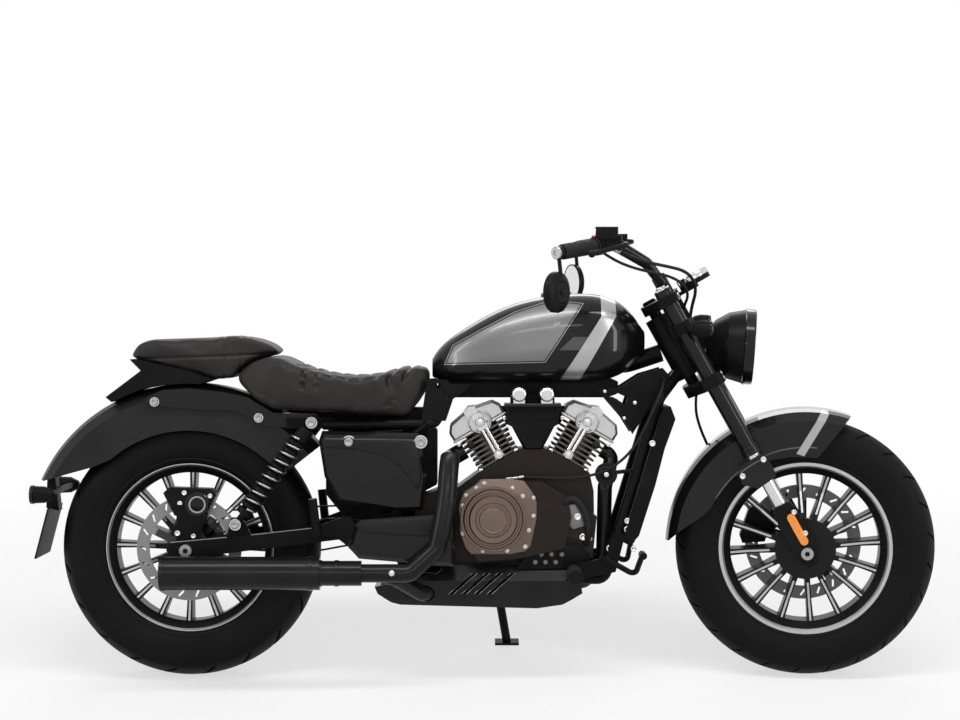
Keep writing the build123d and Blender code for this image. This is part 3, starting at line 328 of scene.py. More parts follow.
def metal(name, colour, rough, streak=None, grain=600.0, place=None):
    made = Shader(name, Metallic=1.0)
    cloud = made.noise(14.0, 4.0, place=place)
    fine = made.noise(grain, 2.0, place=place, stretch=streak)
    low = tuple(c * 0.82 for c in colour[:3]) + (1.0,)
    made.feed(Base_Color=made.blend(cloud * 0.6 + fine * 0.4, low, colour),
              Roughness=rough + 0.12 * (cloud - 0.5) + 0.1 * (fine - 0.5))
    made.feed(Normal=made.bump(fine, 0.00005, 0.3))
    return made


def polygonMask(x, z, corners):
    reach = None
    for (x0, z0), (x1, z1) in zip(corners, corners[1:] + corners[:1]):
        length = math.hypot(x1 - x0, z1 - z0)
        nx, nz = -(z1 - z0) / length, (x1 - x0) / length
        side = x * nx + z * nz - (x0 * nx + z0 * nz)
        reach = side if reach is None else reach.most(side)
    return reach


tankGraphic = {
    # outlines on the side of the tank, x and z in metres, clockwise seen from the right
    "panel": [(-0.128, 0.776), (-0.110, 0.817), (-0.042, 0.855), (0.041, 0.898), (0.105, 0.919),
              (0.150, 0.924), (0.200, 0.919), (0.111, 0.782)],
    "stripe": [(0.250, 0.890), (0.250, 0.990), (0.287, 0.990), (0.287, 0.890), (0.198, 0.735),
               (0.150, 0.735)],
    "shade": [(0.147, 0.808), (0.181, 0.840), (0.235, 0.840), (0.210, 0.808)],
    "line": (0.0030, 0.0042),
}


def tankPaint():
    made = Shader("tankPaint", Coat_Roughness=0.02, Coat_IOR=1.24, Specular_IOR_Level=0.1, Coat_Weight=1.0)
    x, y, z = made.along(bikePlace)
    cloud = made.noise(5.0)
    flake = made.noise(1800.0, 1.0)
    black = made.blend(cloud, shade(0.003), shade(0.006))
    low, high = tankGraphic["line"]
    panel = polygonMask(x, z, tankGraphic["panel"])
    inside = 1 - panel.step(-0.0004, 0.0004)
    line = panel.step(low - 0.0003, low) * (1 - panel.step(high, high + 0.0003))
    stripe = 1 - polygonMask(x, z, tankGraphic["stripe"][:4]).step(-0.0004, 0.0004)
    slant = 1 - polygonMask(x, z, [tankGraphic["stripe"][0], tankGraphic["stripe"][3],
                                   tankGraphic["stripe"][4],
                                   tankGraphic["stripe"][5]]).step(-0.0004, 0.0004)
    band = 1 - polygonMask(x, z, tankGraphic["shade"]).step(-0.0004, 0.0004)
    silver = stripe.most(slant)
    grey = made.blend(flake * 0.5 + cloud * 0.5, shade(0.13), shade(0.20))
    tone = made.blend(inside, black, grey)
    tone = made.blend(line, tone, shade(0.32))
    tone = made.blend(band, tone, shade(0.07))
    tone = made.blend(silver, tone, made.blend(flake, shade(0.34), shade(0.46)))
    made.feed(Base_Color=tone, Metallic=(inside * 0.75).most(silver * 0.8).most(line * 0.7),
              Roughness=0.3 + 0.1 * inside + 0.06 * (cloud - 0.5))
    made.feed(Normal=made.bump(flake, 0.00002, 0.3))
    return made


def leather():
    made = Shader("leather", Specular_IOR_Level=0.2)
    cloud = made.noise(9.0, 4.0)
    grain = made.cells(420.0)
    pores = made.noise(1400.0, 3.0)
    tone = made.blend((cloud * 0.8 + grain * 0.4).step(0.25, 0.85), (0.009, 0.0078, 0.0072, 1),
                      (0.018, 0.0158, 0.0148, 1))
    made.feed(Base_Color=tone, Roughness=0.44 + 0.18 * (cloud - 0.5) + 0.1 * grain)
    made.feed(Normal=made.bump(grain * 0.7 + pores * 0.3, 0.00035, 0.55))
    return made


def tyreRubber(name, hub):
    made = Shader(name, Specular_IOR_Level=0.08)
    x, y, z = made.along(hub)
    radius = (x * x + z * z).maths("SQRT")
    cloud = made.noise(12.0, 4.0)
    rings = (radius.repeat(0.0042) - 0.5).__abs__() * between(radius, 0.226, 0.262)
    tone = made.blend(cloud, shade(0.003), shade(0.007))
    made.feed(Base_Color=tone, Roughness=0.56 + 0.2 * (cloud - 0.5))
    made.feed(Normal=made.bump(rings + 0.4 * made.noise(700.0, 2.0), 0.0006, 0.6))
    return made


def between(value, low, high):
    return value.step(low - 0.0008, low) * (1 - value.step(high, high + 0.0008))


wheelLook = {"spokes": 16, "lip": 0.213, "lipFrom": 0.2015, "machined": 0.0028, "from": 0.088, "to": 0.189}


def castWheel(name, hub, phase):
    made = Shader(name, Specular_IOR_Level=0.15)
    x, y, z = made.along(hub)
    radius = (x * x + z * z).maths("SQRT")
    angle = z.maths("ARCTAN2", x) * (180 / math.pi) - phase
    pitch = 360 / wheelLook["spokes"]
    offset = ((angle / pitch + 100.5).maths("FRACT") - 0.5).__abs__() * radius * math.radians(pitch)
    normal = made.node("ShaderNodeTexCoord", {}, {}, "Normal")
    facing = made.node("ShaderNodeVectorMath", {"operation": "DOT_PRODUCT"}, {
        0: normal, 1: hub.to_3x3() @ Vector((0, 1, 0))}, "Value")
    flat = facing.__abs__().step(0.8, 0.88)
    edge = 1 - offset.step(wheelLook["machined"] - 0.0006, wheelLook["machined"])
    spoke = edge * flat * between(radius, wheelLook["from"], wheelLook["to"])
    lip = between(radius, wheelLook["lipFrom"], wheelLook["lip"] + 0.002)
    machined = spoke.most(lip)
    turned = made.node("ShaderNodeCombineXYZ", {}, {0: radius * 1800.0, 1: angle * 0.2, 2: y * 40.0})
    lines = made.node("ShaderNodeTexNoise", {}, {"Vector": turned, "Scale": 1.0, "Detail": 2.0})
    cloud = made.noise(12.0, 4.0)
    fine = made.noise(1500.0, 2.0)
    dark = made.blend(cloud, shade(0.004), shade(0.010))
    silver = made.blend(lines, shade(0.34), shade(0.56))
    made.feed(Base_Color=made.blend(machined, dark, silver), Metallic=machined * 0.9,
              Roughness=(0.34 + 0.14 * (cloud - 0.5)) * (1 - machined) + (0.26 + 0.12 * lines) * machined)
    made.feed(Normal=made.bump(fine * (1 - machined) + lines * 0.4 * machined, 0.0001, 0.4))
    return made


def brakeSteel(name, hub, inner, outer):
    made = Shader(name, Metallic=1.0)
    x, y, z = made.along(hub)
    radius = (x * x + z * z).maths("SQRT")
    angle = z.maths("ARCTAN2", x)
    turned = made.node("ShaderNodeCombineXYZ", {}, {0: radius * 2600.0, 1: angle * 2.0, 2: y * 60.0})
    lines = made.node("ShaderNodeTexNoise", {}, {"Vector": turned, "Scale": 1.0, "Detail": 3.0})
    cloud = made.noise(18.0, 4.0)
    worn = between(radius, inner, outer)
    tone = made.blend(lines * 0.7 + cloud * 0.3, shade(0.14), shade(0.27))
    made.feed(Base_Color=made.blend(worn, shade(0.05), tone),
              Roughness=0.38 + 0.2 * lines + 0.15 * (1 - worn))
    made.feed(Normal=made.bump(lines, 0.00008, 0.5))
    return made


def castAlloy(name, colour, rough=0.36, grain=900.0, bumps=0.00025):
    made = Shader(name, Metallic=0.9)
    cloud = made.noise(10.0, 4.0)
    fine = made.noise(grain, 3.0)
    low = tuple(c * 0.75 for c in colour[:3]) + (1.0,)
    made.feed(Base_Color=made.blend(cloud * 0.7 + fine * 0.3, low, colour),
              Roughness=rough + 0.18 * (cloud - 0.5) + 0.1 * (fine - 0.5))
    made.feed(Normal=made.bump(fine, bumps, 0.5))
    return made


def gripRubber(name):
    made = Shader(name, Specular_IOR_Level=0.2)
    cloud = made.noise(30.0)
    fine = made.noise(1600.0, 2.0)
    made.feed(Base_Color=made.blend(cloud, shade(0.005), shade(0.011)), Roughness=0.62 + 0.2 * (cloud - 0.5))
    made.feed(Normal=made.bump(fine, 0.0002, 0.5))
    return made


def amberPlastic():
    made = Shader("amberPlastic", Coat_Roughness=0.05, Specular_IOR_Level=0.5)
    x, y, z = made.along(forkPlace)
    ribs = ((x + z).repeat(0.005) - 0.5).__abs__().most(((x - z).repeat(0.005) - 0.5).__abs__())
    cloud = made.noise(60.0)
    made.feed(Base_Color=made.blend(ribs * 1.6 - 0.5 + 0.2 * cloud, (0.75, 0.20, 0.0, 1),
                                    (1.0, 0.42, 0.03, 1)),
              Roughness=0.22 + 0.1 * cloud, Coat_Weight=0.9 + 0.05 * cloud)
    made.feed(Normal=made.bump(ribs, 0.0006, 0.7))
    return made


def clearGlass(name, place, pitch=0.0):
    made = Shader(name, Transmission_Weight=1.0, IOR=1.5, Specular_IOR_Level=0.5)
    cloud = made.noise(20.0)
    made.feed(Base_Color=made.blend(cloud, (0.93, 0.95, 0.97, 1), (0.97, 0.98, 0.99, 1)),
              Roughness=0.02 + 0.03 * cloud)
    if pitch:
        x, y, z = made.along(place)
        flutes = (y.repeat(pitch) - 0.5).__abs__()
        made.feed(Normal=made.bump(flutes, 0.0008, 0.5))
    return made


fenderLine = {
    # radius of the pressed line from the hub, along which a painted highlight runs, its angles, and the
    # silver stripe's corners
    "radius": (0.2525, 0.2552), "from": 84.0, "to": 150.0,
    "stripe": [(0.801, 0.662), (0.819, 0.655), (0.757, 0.552), (0.738, 0.558)],
}


def fenderPaint():
    made = paint("frontFenderPaint", shade(0.006), rough=0.3)
    x, y, z = made.along(steeredPlace)
    hub = parked["wheelbase"] / 2
    radius = ((x - hub) * (x - hub) + (z - parked["hub"]) * (z - parked["hub"])).maths("SQRT")
    angle = (z - parked["hub"]).maths("ARCTAN2", x - hub) * (180 / math.pi)
    low, high = fenderLine["radius"]
    # mask of the painted highlight that runs along the pressed line
    line = radius.step(low - 0.0004, low) * (1 - radius.step(high, high + 0.0004))
    line = line * angle.step(fenderLine["from"], fenderLine["from"] + 0.5)
    line = line * (1 - angle.step(fenderLine["to"], fenderLine["to"] + 0.5))
    stripe = 1 - polygonMask(x, z, fenderLine["stripe"]).step(-0.0004, 0.0004)
    cloud = made.noise(7.0)
    tone = made.blend(cloud, shade(0.0045), shade(0.008))
    # painted highlight: a lighter grey line along the fender's pressed line
    tone = made.blend(line, tone, shade(0.10))
    tone = made.blend(stripe, tone, made.blend(made.noise(900.0), shade(0.30), shade(0.42)))
    made.feed(Base_Color=tone, Metallic=stripe * 0.8)
    return made


def dialFace():
    made = Shader("dialFace", Specular_IOR_Level=0.2)
    x, y, z = made.along(forkPlace @ Matrix.Translation((0.080, 0, 0)))
    radius = (x * x + y * y).maths("SQRT")
    angle = y.maths("ARCTAN2", x) * (180 / math.pi)
    ticks = ((angle.repeat(9.0) - 0.5).__abs__()).step(0.40, 0.44) * radius.step(0.029, 0.0295)
    needle = (1 - y.__abs__().step(0.0007, 0.0012)) * x.step(0.0, 0.0005) * (1 - x.step(0.024, 0.0245))
    tone = made.blend(ticks, shade(0.006), shade(0.6))
    tone = made.blend(needle, tone, (0.6, 0.03, 0.01, 1))
    made.feed(Base_Color=tone, Roughness=0.4 + 0.1 * made.noise(50.0))
    return made


def radiatorMesh():
    made = Shader("radiatorMesh", Specular_IOR_Level=0.2)
    x, y, z = made.along(bikePlace)
    fins = (z.repeat(0.0032) - 0.5).__abs__()
    tubes = (y.repeat(0.011) - 0.5).__abs__().step(0.36, 0.42)
    # lighter at the fin lines and darker midway between them: painted shade in the gaps between the fins
    tone = made.blend((fins * 2).most(tubes), shade(0.003), shade(0.03))
    made.feed(Base_Color=tone, Metallic=tubes * 0.6, Roughness=0.45 + 0.2 * fins)
    made.feed(Normal=made.bump(fins.most(tubes), 0.0012, 0.8))
    return made


def lensPlastic(name, low, high, pitch=0.004):
    made = Shader(name, Coat_Roughness=0.04, Specular_IOR_Level=0.5)
    x, y, z = made.along()
    ribs = (z.repeat(pitch) - 0.5).__abs__()
    cloud = made.noise(60.0)
    made.feed(Base_Color=made.blend(ribs * 1.4 + 0.2 * cloud, low, high), Roughness=0.2 + 0.1 * cloud,
              Coat_Weight=0.9 + 0.05 * cloud)
    made.feed(Normal=made.bump(ribs, 0.0005, 0.6))
    return made


finishes = {
    "tankPaint": tankPaint(),
    "fenderPaint": fenderPaint(),
    "glossBlack": paint("glossBlack", shade(0.005)),
    "satinBlack": powderCoat("satinBlack", shade(0.006), 0.36, gloss=0.07),
    "frameBlack": powderCoat("frameBlack", shade(0.005), 0.30, gloss=0.06),
    "fenderBlack": powderCoat("fenderBlack", shade(0.011), 0.36, gloss=0.16),
    "plasticBlack": powderCoat("plasticBlack", shade(0.005), 0.46, 700.0, gloss=0.06),
    "engineBlack": castAlloy("engineBlack", (0.022, 0.0175, 0.0155, 1), 0.44),
    "finAlloy": castAlloy("finAlloy", (0.120, 0.098, 0.084, 1), 0.42),
    "bronzeAlloy": castAlloy("bronzeAlloy", (0.155, 0.112, 0.092, 1), 0.38),
    "silverAlloy": castAlloy("silverAlloy", shade(0.52), 0.42, 1100.0),
    "greyPlate": castAlloy("greyPlate", shade(0.20), 0.45),
    "exhaustBlack": powderCoat("exhaustBlack", shade(0.006), 0.24, 900.0, gloss=0.17),
    "chrome": metal("chrome", shade(0.70), 0.12, grain=120.0),
    "steel": metal("steel", shade(0.36), 0.32),
    "leather": leather(),
    "stitch": powderCoat("stitch", shade(0.06, 0.2), 0.7, gloss=0.1),
    "grip": gripRubber("gripRubber"),
    "amber": amberPlastic(),
    "redPlastic": lensPlastic("redPlastic", (0.25, 0.003, 0.002, 1), (0.55, 0.012, 0.006, 1)),
    "amberLens": lensPlastic("amberLens", (0.35, 0.10, 0.01, 1), (0.7, 0.24, 0.03, 1)),
    "mirrorGlass": metal("mirrorGlass", shade(0.8), 0.03, grain=40.0),
    "plateWhite": powderCoat("plateWhite", shade(0.45), 0.4, 300.0),
    "dialFace": dialFace(),
    "radiatorMesh": radiatorMesh(),
    "belt": gripRubber("beltRubber"),
    "lampGlass": clearGlass("lampGlass", steeredPlace, 0.012),
    "frontCast": castWheel("frontCast", frontHub, 94.6),
    "rearCast": castWheel("rearCast", rearHub, 88.5),
    "frontRubber": tyreRubber("frontRubber", frontHub),
    "rearRubber": tyreRubber("rearRubber", rearHub),
    "frontBrake": brakeSteel("frontBrake", frontHub, 0.105, 0.150),
    "rearBrake": brakeSteel("rearBrake", rearHub, 0.090, 0.132),
}

nodeFinish = {
    "frameBlack": "frame swingarm yokes foot_controls side_stand",
    "satinBlack": "fork_castings handlebar levers mirrors headlamp rear_caliper front_caliper rear_shocks",
    "glossBlack": "fork_outer_tubes fender_struts side_covers",
    "fenderPaint": "front_fender",
    "fenderBlack": "rear_fender",
    "plasticBlack": "tail_piece radiator_cowl intake_box hand_controls gauge horn front_indicators "
                    "rear_indicators",
    "radiatorMesh": "radiator",
    "tankPaint": "fuel_tank",
    "exhaustBlack": "exhaust_headers muffler belly_pan",
    "engineBlack": "crankcase generator_cover",
    "finAlloy": "cylinders",
    "bronzeAlloy": "clutch_cover",
    "silverAlloy": "rocker_covers",
    "chrome": "pushrod_tubes intake_caps fork_inner_tubes tank_cap",
    "steel": "front_axle rear_axle rear_pulley",
    "leather": "rider_seat pillion_seat",
    "grip": "grips clutch_cable brake_hose throttle_cables caliper_hose water_hose",
    "belt": "drive_belt",
    "amber": "fork_reflectors",
    "lampGlass": "headlamp_lens",
    "frontCast": "front_wheel",
    "rearCast": "rear_wheel",
    "frontRubber": "front_tyre",
    "rearRubber": "rear_tyre",
    "frontBrake": "front_disc",
    "rearBrake": "rear_disc",
}


def dressNodes():
    bpy.ops.object.select_all(action="DESELECT")
    for finish, names in nodeFinish.items():
        for name in names.split():
            piece = nodes[name]
            piece.data.materials.clear()
            piece.data.materials.append(finishes[finish].material)


dressNodes()
print("stage: finishes on the CAD nodes")


def deselect():
    bpy.ops.object.select_all(action="DESELECT")


def start(name, kind, **settings):
    deselect()
    getattr(bpy.ops.mesh, "primitive_" + kind + "_add")(**settings)
    piece = bpy.context.active_object
    piece.name = name
    return piece


def only(piece):
    deselect()
    piece.select_set(True)
    bpy.context.view_layer.objects.active = piece


def pickFaces(piece, test):  # leaves the piece in edit mode with those faces selected
    only(piece)
    bpy.ops.object.mode_set(mode="EDIT")
    bpy.ops.mesh.select_mode(type="FACE")
    bpy.ops.mesh.select_all(action="DESELECT")
    bpy.ops.object.mode_set(mode="OBJECT")
    for face in piece.data.polygons:
        face.select = bool(test(face.center, face.normal))
    bpy.ops.object.mode_set(mode="EDIT")


def leaveEdit():
    bpy.ops.object.mode_set(mode="OBJECT")


def inset(amount, depth=0.0):
    bpy.ops.mesh.inset(thickness=amount, depth=depth)


def pull(offset):
    bpy.ops.mesh.extrude_region_move(TRANSFORM_OT_translate={"value": offset})


def swell(amount):
    bpy.ops.mesh.extrude_region_shrink_fatten(TRANSFORM_OT_shrink_fatten={"value": amount})


def tidyMesh(piece):
    only(piece)
    bpy.ops.object.mode_set(mode="EDIT")
    bpy.ops.mesh.select_all(action="SELECT")
    bpy.ops.mesh.remove_doubles(threshold=0.00002)
    bpy.ops.mesh.normals_make_consistent(inside=False)
    leaveEdit()


def modify(piece, kind, **settings):
    only(piece)
    made = piece.modifiers.new(kind.title(), kind)
    for label, value in settings.items():
        setattr(made, label, value)
    bpy.ops.object.modifier_apply(modifier=made.name)


def smooth(piece, degrees=35):
    only(piece)
    bpy.ops.object.shade_smooth_by_angle(angle=math.radians(degrees))


def bake(piece):  # the object's own place goes into its mesh
    only(piece)
    bpy.ops.object.transform_apply(location=True, rotation=True, scale=True)


def joinUp(name, pieces):
    deselect()
    for piece in pieces:
        piece.select_set(True)
    bpy.context.view_layer.objects.active = pieces[0]
    if len(pieces) > 1:
        bpy.ops.object.join()
    pieces[0].name = name
    return pieces[0]


def hand(piece, body, finish, place=None, replaced=()):
    if place is not None:
        piece.data.transform(place)
    piece.data.materials.clear()
    piece.data.materials.append(finishes[finish].material)
    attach(piece, body)
    if replaced:
        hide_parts(*replaced)
    return piece


# a flat plate from its outline in x and z
def outlinePlate(name, corners, y0, y1, bevel=0.0008, segments=2):
    piece = start(name, "circle", vertices=len(corners), radius=1.0, fill_type="NGON")
    for vertex, (x, z) in zip(piece.data.vertices, corners):
        vertex.co = (x, y0, z)
    pickFaces(piece, lambda c, n: True)
    pull((0, y1 - y0, 0))
    leaveEdit()
    tidyMesh(piece)
    if bevel:
        modify(piece, "BEVEL", width=bevel, segments=segments, limit_method="ANGLE")
    smooth(piece)
    return piece


# a smooth tube along given points
def tube(name, points, radius, sides=4, order=3, steps=8):
    data = bpy.data.curves.new(name, "CURVE")
    data.dimensions = "3D"
    data.resolution_u = steps
    data.bevel_depth = radius
    data.bevel_resolution = sides
    data.use_fill_caps = True
    line = data.splines.new("NURBS")
    line.points.add(len(points) - 1)
    for spot, at in zip(line.points, points):
        spot.co = (*at, 1.0)
    line.order_u = order
    line.use_endpoint_u = True
    piece = bpy.data.objects.new(name, data)
    scene.collection.objects.link(piece)
    return piece


def meshed(piece):
    only(piece)
    bpy.ops.object.convert(target="MESH")
    return bpy.context.active_object


screwSizes = {
    # height, radius of the hollow or stud, how far it goes up and sides, as shares of the head's radius
    "socket": (0.75, 0.52, -0.35, 24),
    "cap": (0.55, 0.0, 0.0, 24),
    "hex": (0.62, 0.45, 0.12, 6),
}


def screwHead(kind, radius):
    height, middle, rise, sides = screwSizes[kind]
    piece = start("screw", "cylinder", vertices=sides, radius=radius, depth=height * radius,
                  location=(0, 0, height * radius / 2))
    bake(piece)
    if middle:
        pickFaces(piece, lambda c, n: n.z > 0.9)
        inset(radius * (1 - middle))
        pull((0, 0, rise * radius))
        leaveEdit()
    modify(piece, "BEVEL", width=radius * 0.12, segments=2, limit_method="ANGLE")
    smooth(piece)
    return piece


# each row of the table is x, y, z and radius, and the heads face away from the bike's middle
def fasten(name, body, finish, place, kind, table):
    heads = []
    for x, y, z, radius in table:
        master = screwHead(kind, radius)
        out = -90 if y > 0 else 90
        spot = Matrix.Translation((x, y, z)) @ Matrix.Rotation(math.radians(out), 4, "X")
        master.data.transform(spot)
        heads.append(master)
    return hand(joinUp(name, heads), body, finish, place)


tyreShape = {
    # radius and half width, from bead to crown, for a tyre with its widest half at 1
    "section": [(0.2045, 0.62), (0.2095, 0.76), (0.2140, 0.80), (0.2190, 0.845), (0.2215, 0.835),
                (0.2290, 0.89), (0.2400, 0.95), (0.2510, 0.985), (0.2620, 1.0), (0.2740, 0.992),
                (0.2850, 0.965), (0.2925, 0.925)],
    "crown": 0.32, "edge": 0.2925, "edgeWide": 0.925, "across": 20, "around": 300, "groove": 0.0042,
    "wall": 0.008,
}


def makeTyre(name, node, body, finish, hub, half, shear, pattern):
    size = tyreShape
    side = [(r, w * half) for r, w in size["section"]]
    crown = []
    for i in range(1, size["across"]):
        t = 1 - 2 * i / size["across"]
        y = t * size["edgeWide"] * half
        crown.append((size["crown"] - (size["crown"] - size["edge"]) * abs(t) ** 2.3, y))
    outer = side + crown + [(r, -y) for r, y in reversed(side)]
    inner = [(r - size["wall"], y * 0.86) for r, y in reversed(outer[3:-3])]
    ringLine = outer + inner
    piece = start(name, "circle", vertices=len(ringLine), radius=1.0, fill_type="NOTHING")
    for vertex, (r, y) in zip(piece.data.vertices, ringLine):
        vertex.co = (r, y, 0)
    only(piece)
    bpy.ops.object.mode_set(mode="EDIT")
    bpy.ops.mesh.select_all(action="SELECT")
    bpy.ops.mesh.spin(steps=size["around"], angle=math.tau, center=(0, 0, 0), axis=(0, 1, 0))
    leaveEdit()
    tidyMesh(piece)
    for vertex in piece.data.vertices:  # the tread's grid leans, so that its grooves run slantwise
        r = math.hypot(vertex.co.x, vertex.co.z)
        if r > size["edge"] - 0.002:
            turn = shear * abs(vertex.co.y) / half
            x, z = vertex.co.x, vertex.co.z
            vertex.co.x = x * math.cos(turn) - z * math.sin(turn)
            vertex.co.z = x * math.sin(turn) + z * math.cos(turn)

    def grooved(c, n):
        r = math.hypot(c.x, c.z)
        if r < size["edge"] + 0.0005 or n.x * c.x + n.z * c.z < 0:
            return False
        turn = math.atan2(c.z, c.x) - shear * abs(c.y) / half
        step = int(round(turn / math.tau * size["around"] - 0.5)) % size["around"]
        column = int((c.y / (size["edgeWide"] * half) + 1) / 2 * size["across"])
        return pattern(step, column, size["across"])

    pickFaces(piece, grooved)
    swell(-size["groove"])
    leaveEdit()
    smooth(piece, 40)
    return hand(piece, body, finish, hub, (node,))


def frontTread(step, column, across):
    middle = abs(column - (across - 1) / 2)
    if middle < 0.6:
        return step % 12 < 11
    if 2 <= middle < 3 and step % 12 in (0, 1, 2, 3, 4, 5):
        return True
    return step % 12 == (0 if column < across / 2 else 6) and 2 < middle < 9


def rearTread(step, column, across):
    middle = abs(column - (across - 1) / 2)
    if middle < 0.6:
        return True
    return step % 15 in ((0, 1) if column < across / 2 else (7, 8)) and 1.4 < middle < 8.6


makeTyre("frontTread", "front_tyre", "front_wheel", "frontRubber", frontHub, 0.065, 0.16, frontTread)
makeTyre("rearTread", "rear_tyre", "rear_wheel", "rearRubber", rearHub, 0.075, 0.22, rearTread)
print("stage: tyres")


seatSizes = {
    "rider": {"voxel": 0.0065, "press": 4.0, "cap": 0.004, "even": 16, "fill": 0.8,
              "pleats": 8, "from": -0.476, "to": -0.212, "depth": 0.0085, "width": 0.168, "half": 0.010,
              "bow": 0.16, "bowHalf": 0.12, "edge": 0.148, "seam": 0.0035, "seamHalf": 0.006},
    "pillion": {"voxel": 0.0055, "press": 4.0, "cap": 0.004, "even": 16, "fill": 0.85,
                "straps": (-0.672, -0.632), "strap": 0.003, "side": 0.784, "seam": 0.004, "seamHalf": 0.006},
}


clothSizes = {"bend": 12, "stretch": 40, "frames": 20, "soften": 14}


# a swollen pad that starts from the seat's plain solid
def padFrom(name, node, size):
    deselect()
    piece = nodes[node].copy()
    piece.data = nodes[node].data.copy()
    piece.name = name
    piece.parent = None
    scene.collection.objects.link(piece)
    piece.data.transform(bikePlace.inverted())
    tidyMesh(piece)
    modify(piece, "REMESH", mode="VOXEL", voxel_size=size["voxel"], use_smooth_shade=True)
    modify(piece, "SMOOTH", factor=0.5, iterations=clothSizes["soften"])
    rest = [v.co.copy() for v in piece.data.vertices]
    only(piece)
    bpy.ops.object.modifier_add(type="CLOTH")
    cloth = piece.modifiers[-1]
    cloth.settings.use_pressure = True
    cloth.settings.uniform_pressure_force = size["press"]
    cloth.settings.effector_weights.gravity = 0
    cloth.settings.quality = 4
    cloth.settings.bending_stiffness = clothSizes["bend"]
    cloth.settings.tension_stiffness = clothSizes["stretch"]
    cloth.settings.compression_stiffness = clothSizes["stretch"]
    cloth.point_cache.frame_start = 1
    cloth.point_cache.frame_end = clothSizes["frames"]
    for at in range(1, clothSizes["frames"] + 1):
        scene.frame_set(at)
    bpy.ops.object.modifier_apply(modifier=cloth.name)
    scene.frame_set(1)
    for vertex, was in zip(piece.data.vertices, rest):
        move = vertex.co - was
        if move.length > size["cap"]:
            vertex.co = was + move.normalized() * size["cap"]
    modify(piece, "SMOOTH", factor=0.5, iterations=size["even"])
    modify(piece, "SUBSURF", levels=1, render_levels=1)
    return piece


# channel gives how far the skin sinks for each place and normal
def sewnIn(piece, channel):
    moves = [v.normal * -channel(v.co, v.normal) for v in piece.data.vertices]
    for vertex, move in zip(piece.data.vertices, moves):
        vertex.co += move


def groove(distance, half):  # 1 on the seam, 0 beyond half
    near = max(0.0, 1 - abs(distance) / half)
    return near * near * (3 - 2 * near)


def makeRiderSeat():
    size = seatSizes["rider"]
    piece = padFrom("riderPad", "rider_seat", size)
    pitch = (size["to"] - size["from"]) / size["pleats"]

    def channel(spot, normal):
        sink = 0.0
        if normal.z > 0.12 and size["from"] - pitch * 0.5 < spot.x < size["to"] + pitch * 0.5:
            reach = size["width"] * (1.0 - 0.25 * max(0.0,
                                                      (spot.x - size["from"]) / (size["to"] - size["from"])))
            side = max(0.0, min(1.0, (reach - abs(spot.y)) / 0.012))
            bow = spot.x + size["bow"] * spot.y * spot.y / size["bowHalf"]
            at = (bow - size["from"]) / pitch
            near = abs(at - round(at)) * pitch
            if 0 <= round(at) <= size["pleats"]:
                sink += size["depth"] * groove(near, size["half"]) * side
            sink -= 0.002 * side * math.cos(min(1.0, near / pitch * 2) * math.pi) * -0.5
        edge = size["edge"] - 0.25 * max(0.0, spot.x + 0.35) - 0.2 * max(0.0, -0.5 - spot.x)
        if normal.z > -0.2:
            sink += size["seam"] * groove(abs(spot.y) - edge, size["seamHalf"])
        return sink

    sewnIn(piece, channel)
    piece.data.transform(bikePlace)
    smooth(piece, 80)
    hand(piece, "chassis", "leather", None, ("rider_seat",))


def makePillionSeat():
    size = seatSizes["pillion"]
    piece = padFrom("pillionPad", "pillion_seat", size)

    def channel(spot, normal):
        sink = sum(size["strap"] * groove(spot.x - strap, size["seamHalf"]) for strap in size["straps"])
        side = size["side"] + 0.04 * (spot.x + 0.9)
        if abs(normal.y) > 0.35:
            sink += size["seam"] * groove(spot.z - side, size["seamHalf"])
        return sink

    sewnIn(piece, channel)
    piece.data.transform(bikePlace)
    smooth(piece, 80)
    hand(piece, "chassis", "leather", None, ("pillion_seat",))


makeRiderSeat()
makePillionSeat()
print("stage: seats")


# turned round the x axis of its place, from pairs of distance along it and radius
def lathe(name, profile, place, steps=72, sharp=38):
    piece = start(name, "circle", vertices=len(profile), radius=1.0, fill_type="NOTHING")
    for vertex, (along, radius) in zip(piece.data.vertices, profile):
        vertex.co = (along, 0, radius)
    only(piece)
    bpy.ops.object.mode_set(mode="EDIT")
    bpy.ops.mesh.select_all(action="SELECT")
    bpy.ops.mesh.spin(steps=steps, angle=math.tau, center=(0, 0, 0), axis=(1, 0, 0))
    leaveEdit()
    tidyMesh(piece)
    smooth(piece, sharp)
    piece.data.transform(place)
    return piece


# a place on one side of the bike, whose x axis points away from the middle
def sideways(x, y, z):
    return Matrix.Translation((x, y, z)) @ Matrix.Rotation(math.radians(90 if y > 0 else -90), 4, "Z")


def leftToo(table):
    return table + [(x, -y, z, radius) for x, y, z, radius in table]


bodyBolts = {
    # x, y, z and head radius on the right side
    "strut": [(-0.843, -0.1032, 0.681, 0.0085), (-0.588, -0.1032, 0.642, 0.0085)],
    "cover": [(-0.365, -0.1462, 0.585, 0.0105), (-0.190, -0.1462, 0.585, 0.0105)],
    "shock": [(-0.455, -0.1512, 0.632, 0.0105), (-0.641, -0.1442, 0.384, 0.0095)],
}
washerSizes = {"cover": 0.0165, "strut": 0.0120, "shock": 0.0145, "thick": 0.0026}


def fitBodyBolts():
    cups = []
    heads = []
    for key, table in bodyBolts.items():
        wide = washerSizes[key]
        thick = washerSizes["thick"]
        for x, y, z, radius in leftToo(table):
            cups.append(lathe("washer", [(0, wide), (thick * 0.6, wide), (thick, wide * 0.94),
                                         (thick, wide * 0.78),
                                         (thick * 0.5, wide * 0.70), (thick * 0.5, 0.0005)],
                                         sideways(x, y, z), 36))
            heads.append((x, y + math.copysign(thick * 0.5, y), z, radius))
    hand(joinUp("bodyWashers", cups), "chassis", "chrome", bikePlace)
    fasten("bodyBolts", "chassis", "steel", bikePlace, "socket", heads)


fitBodyBolts()

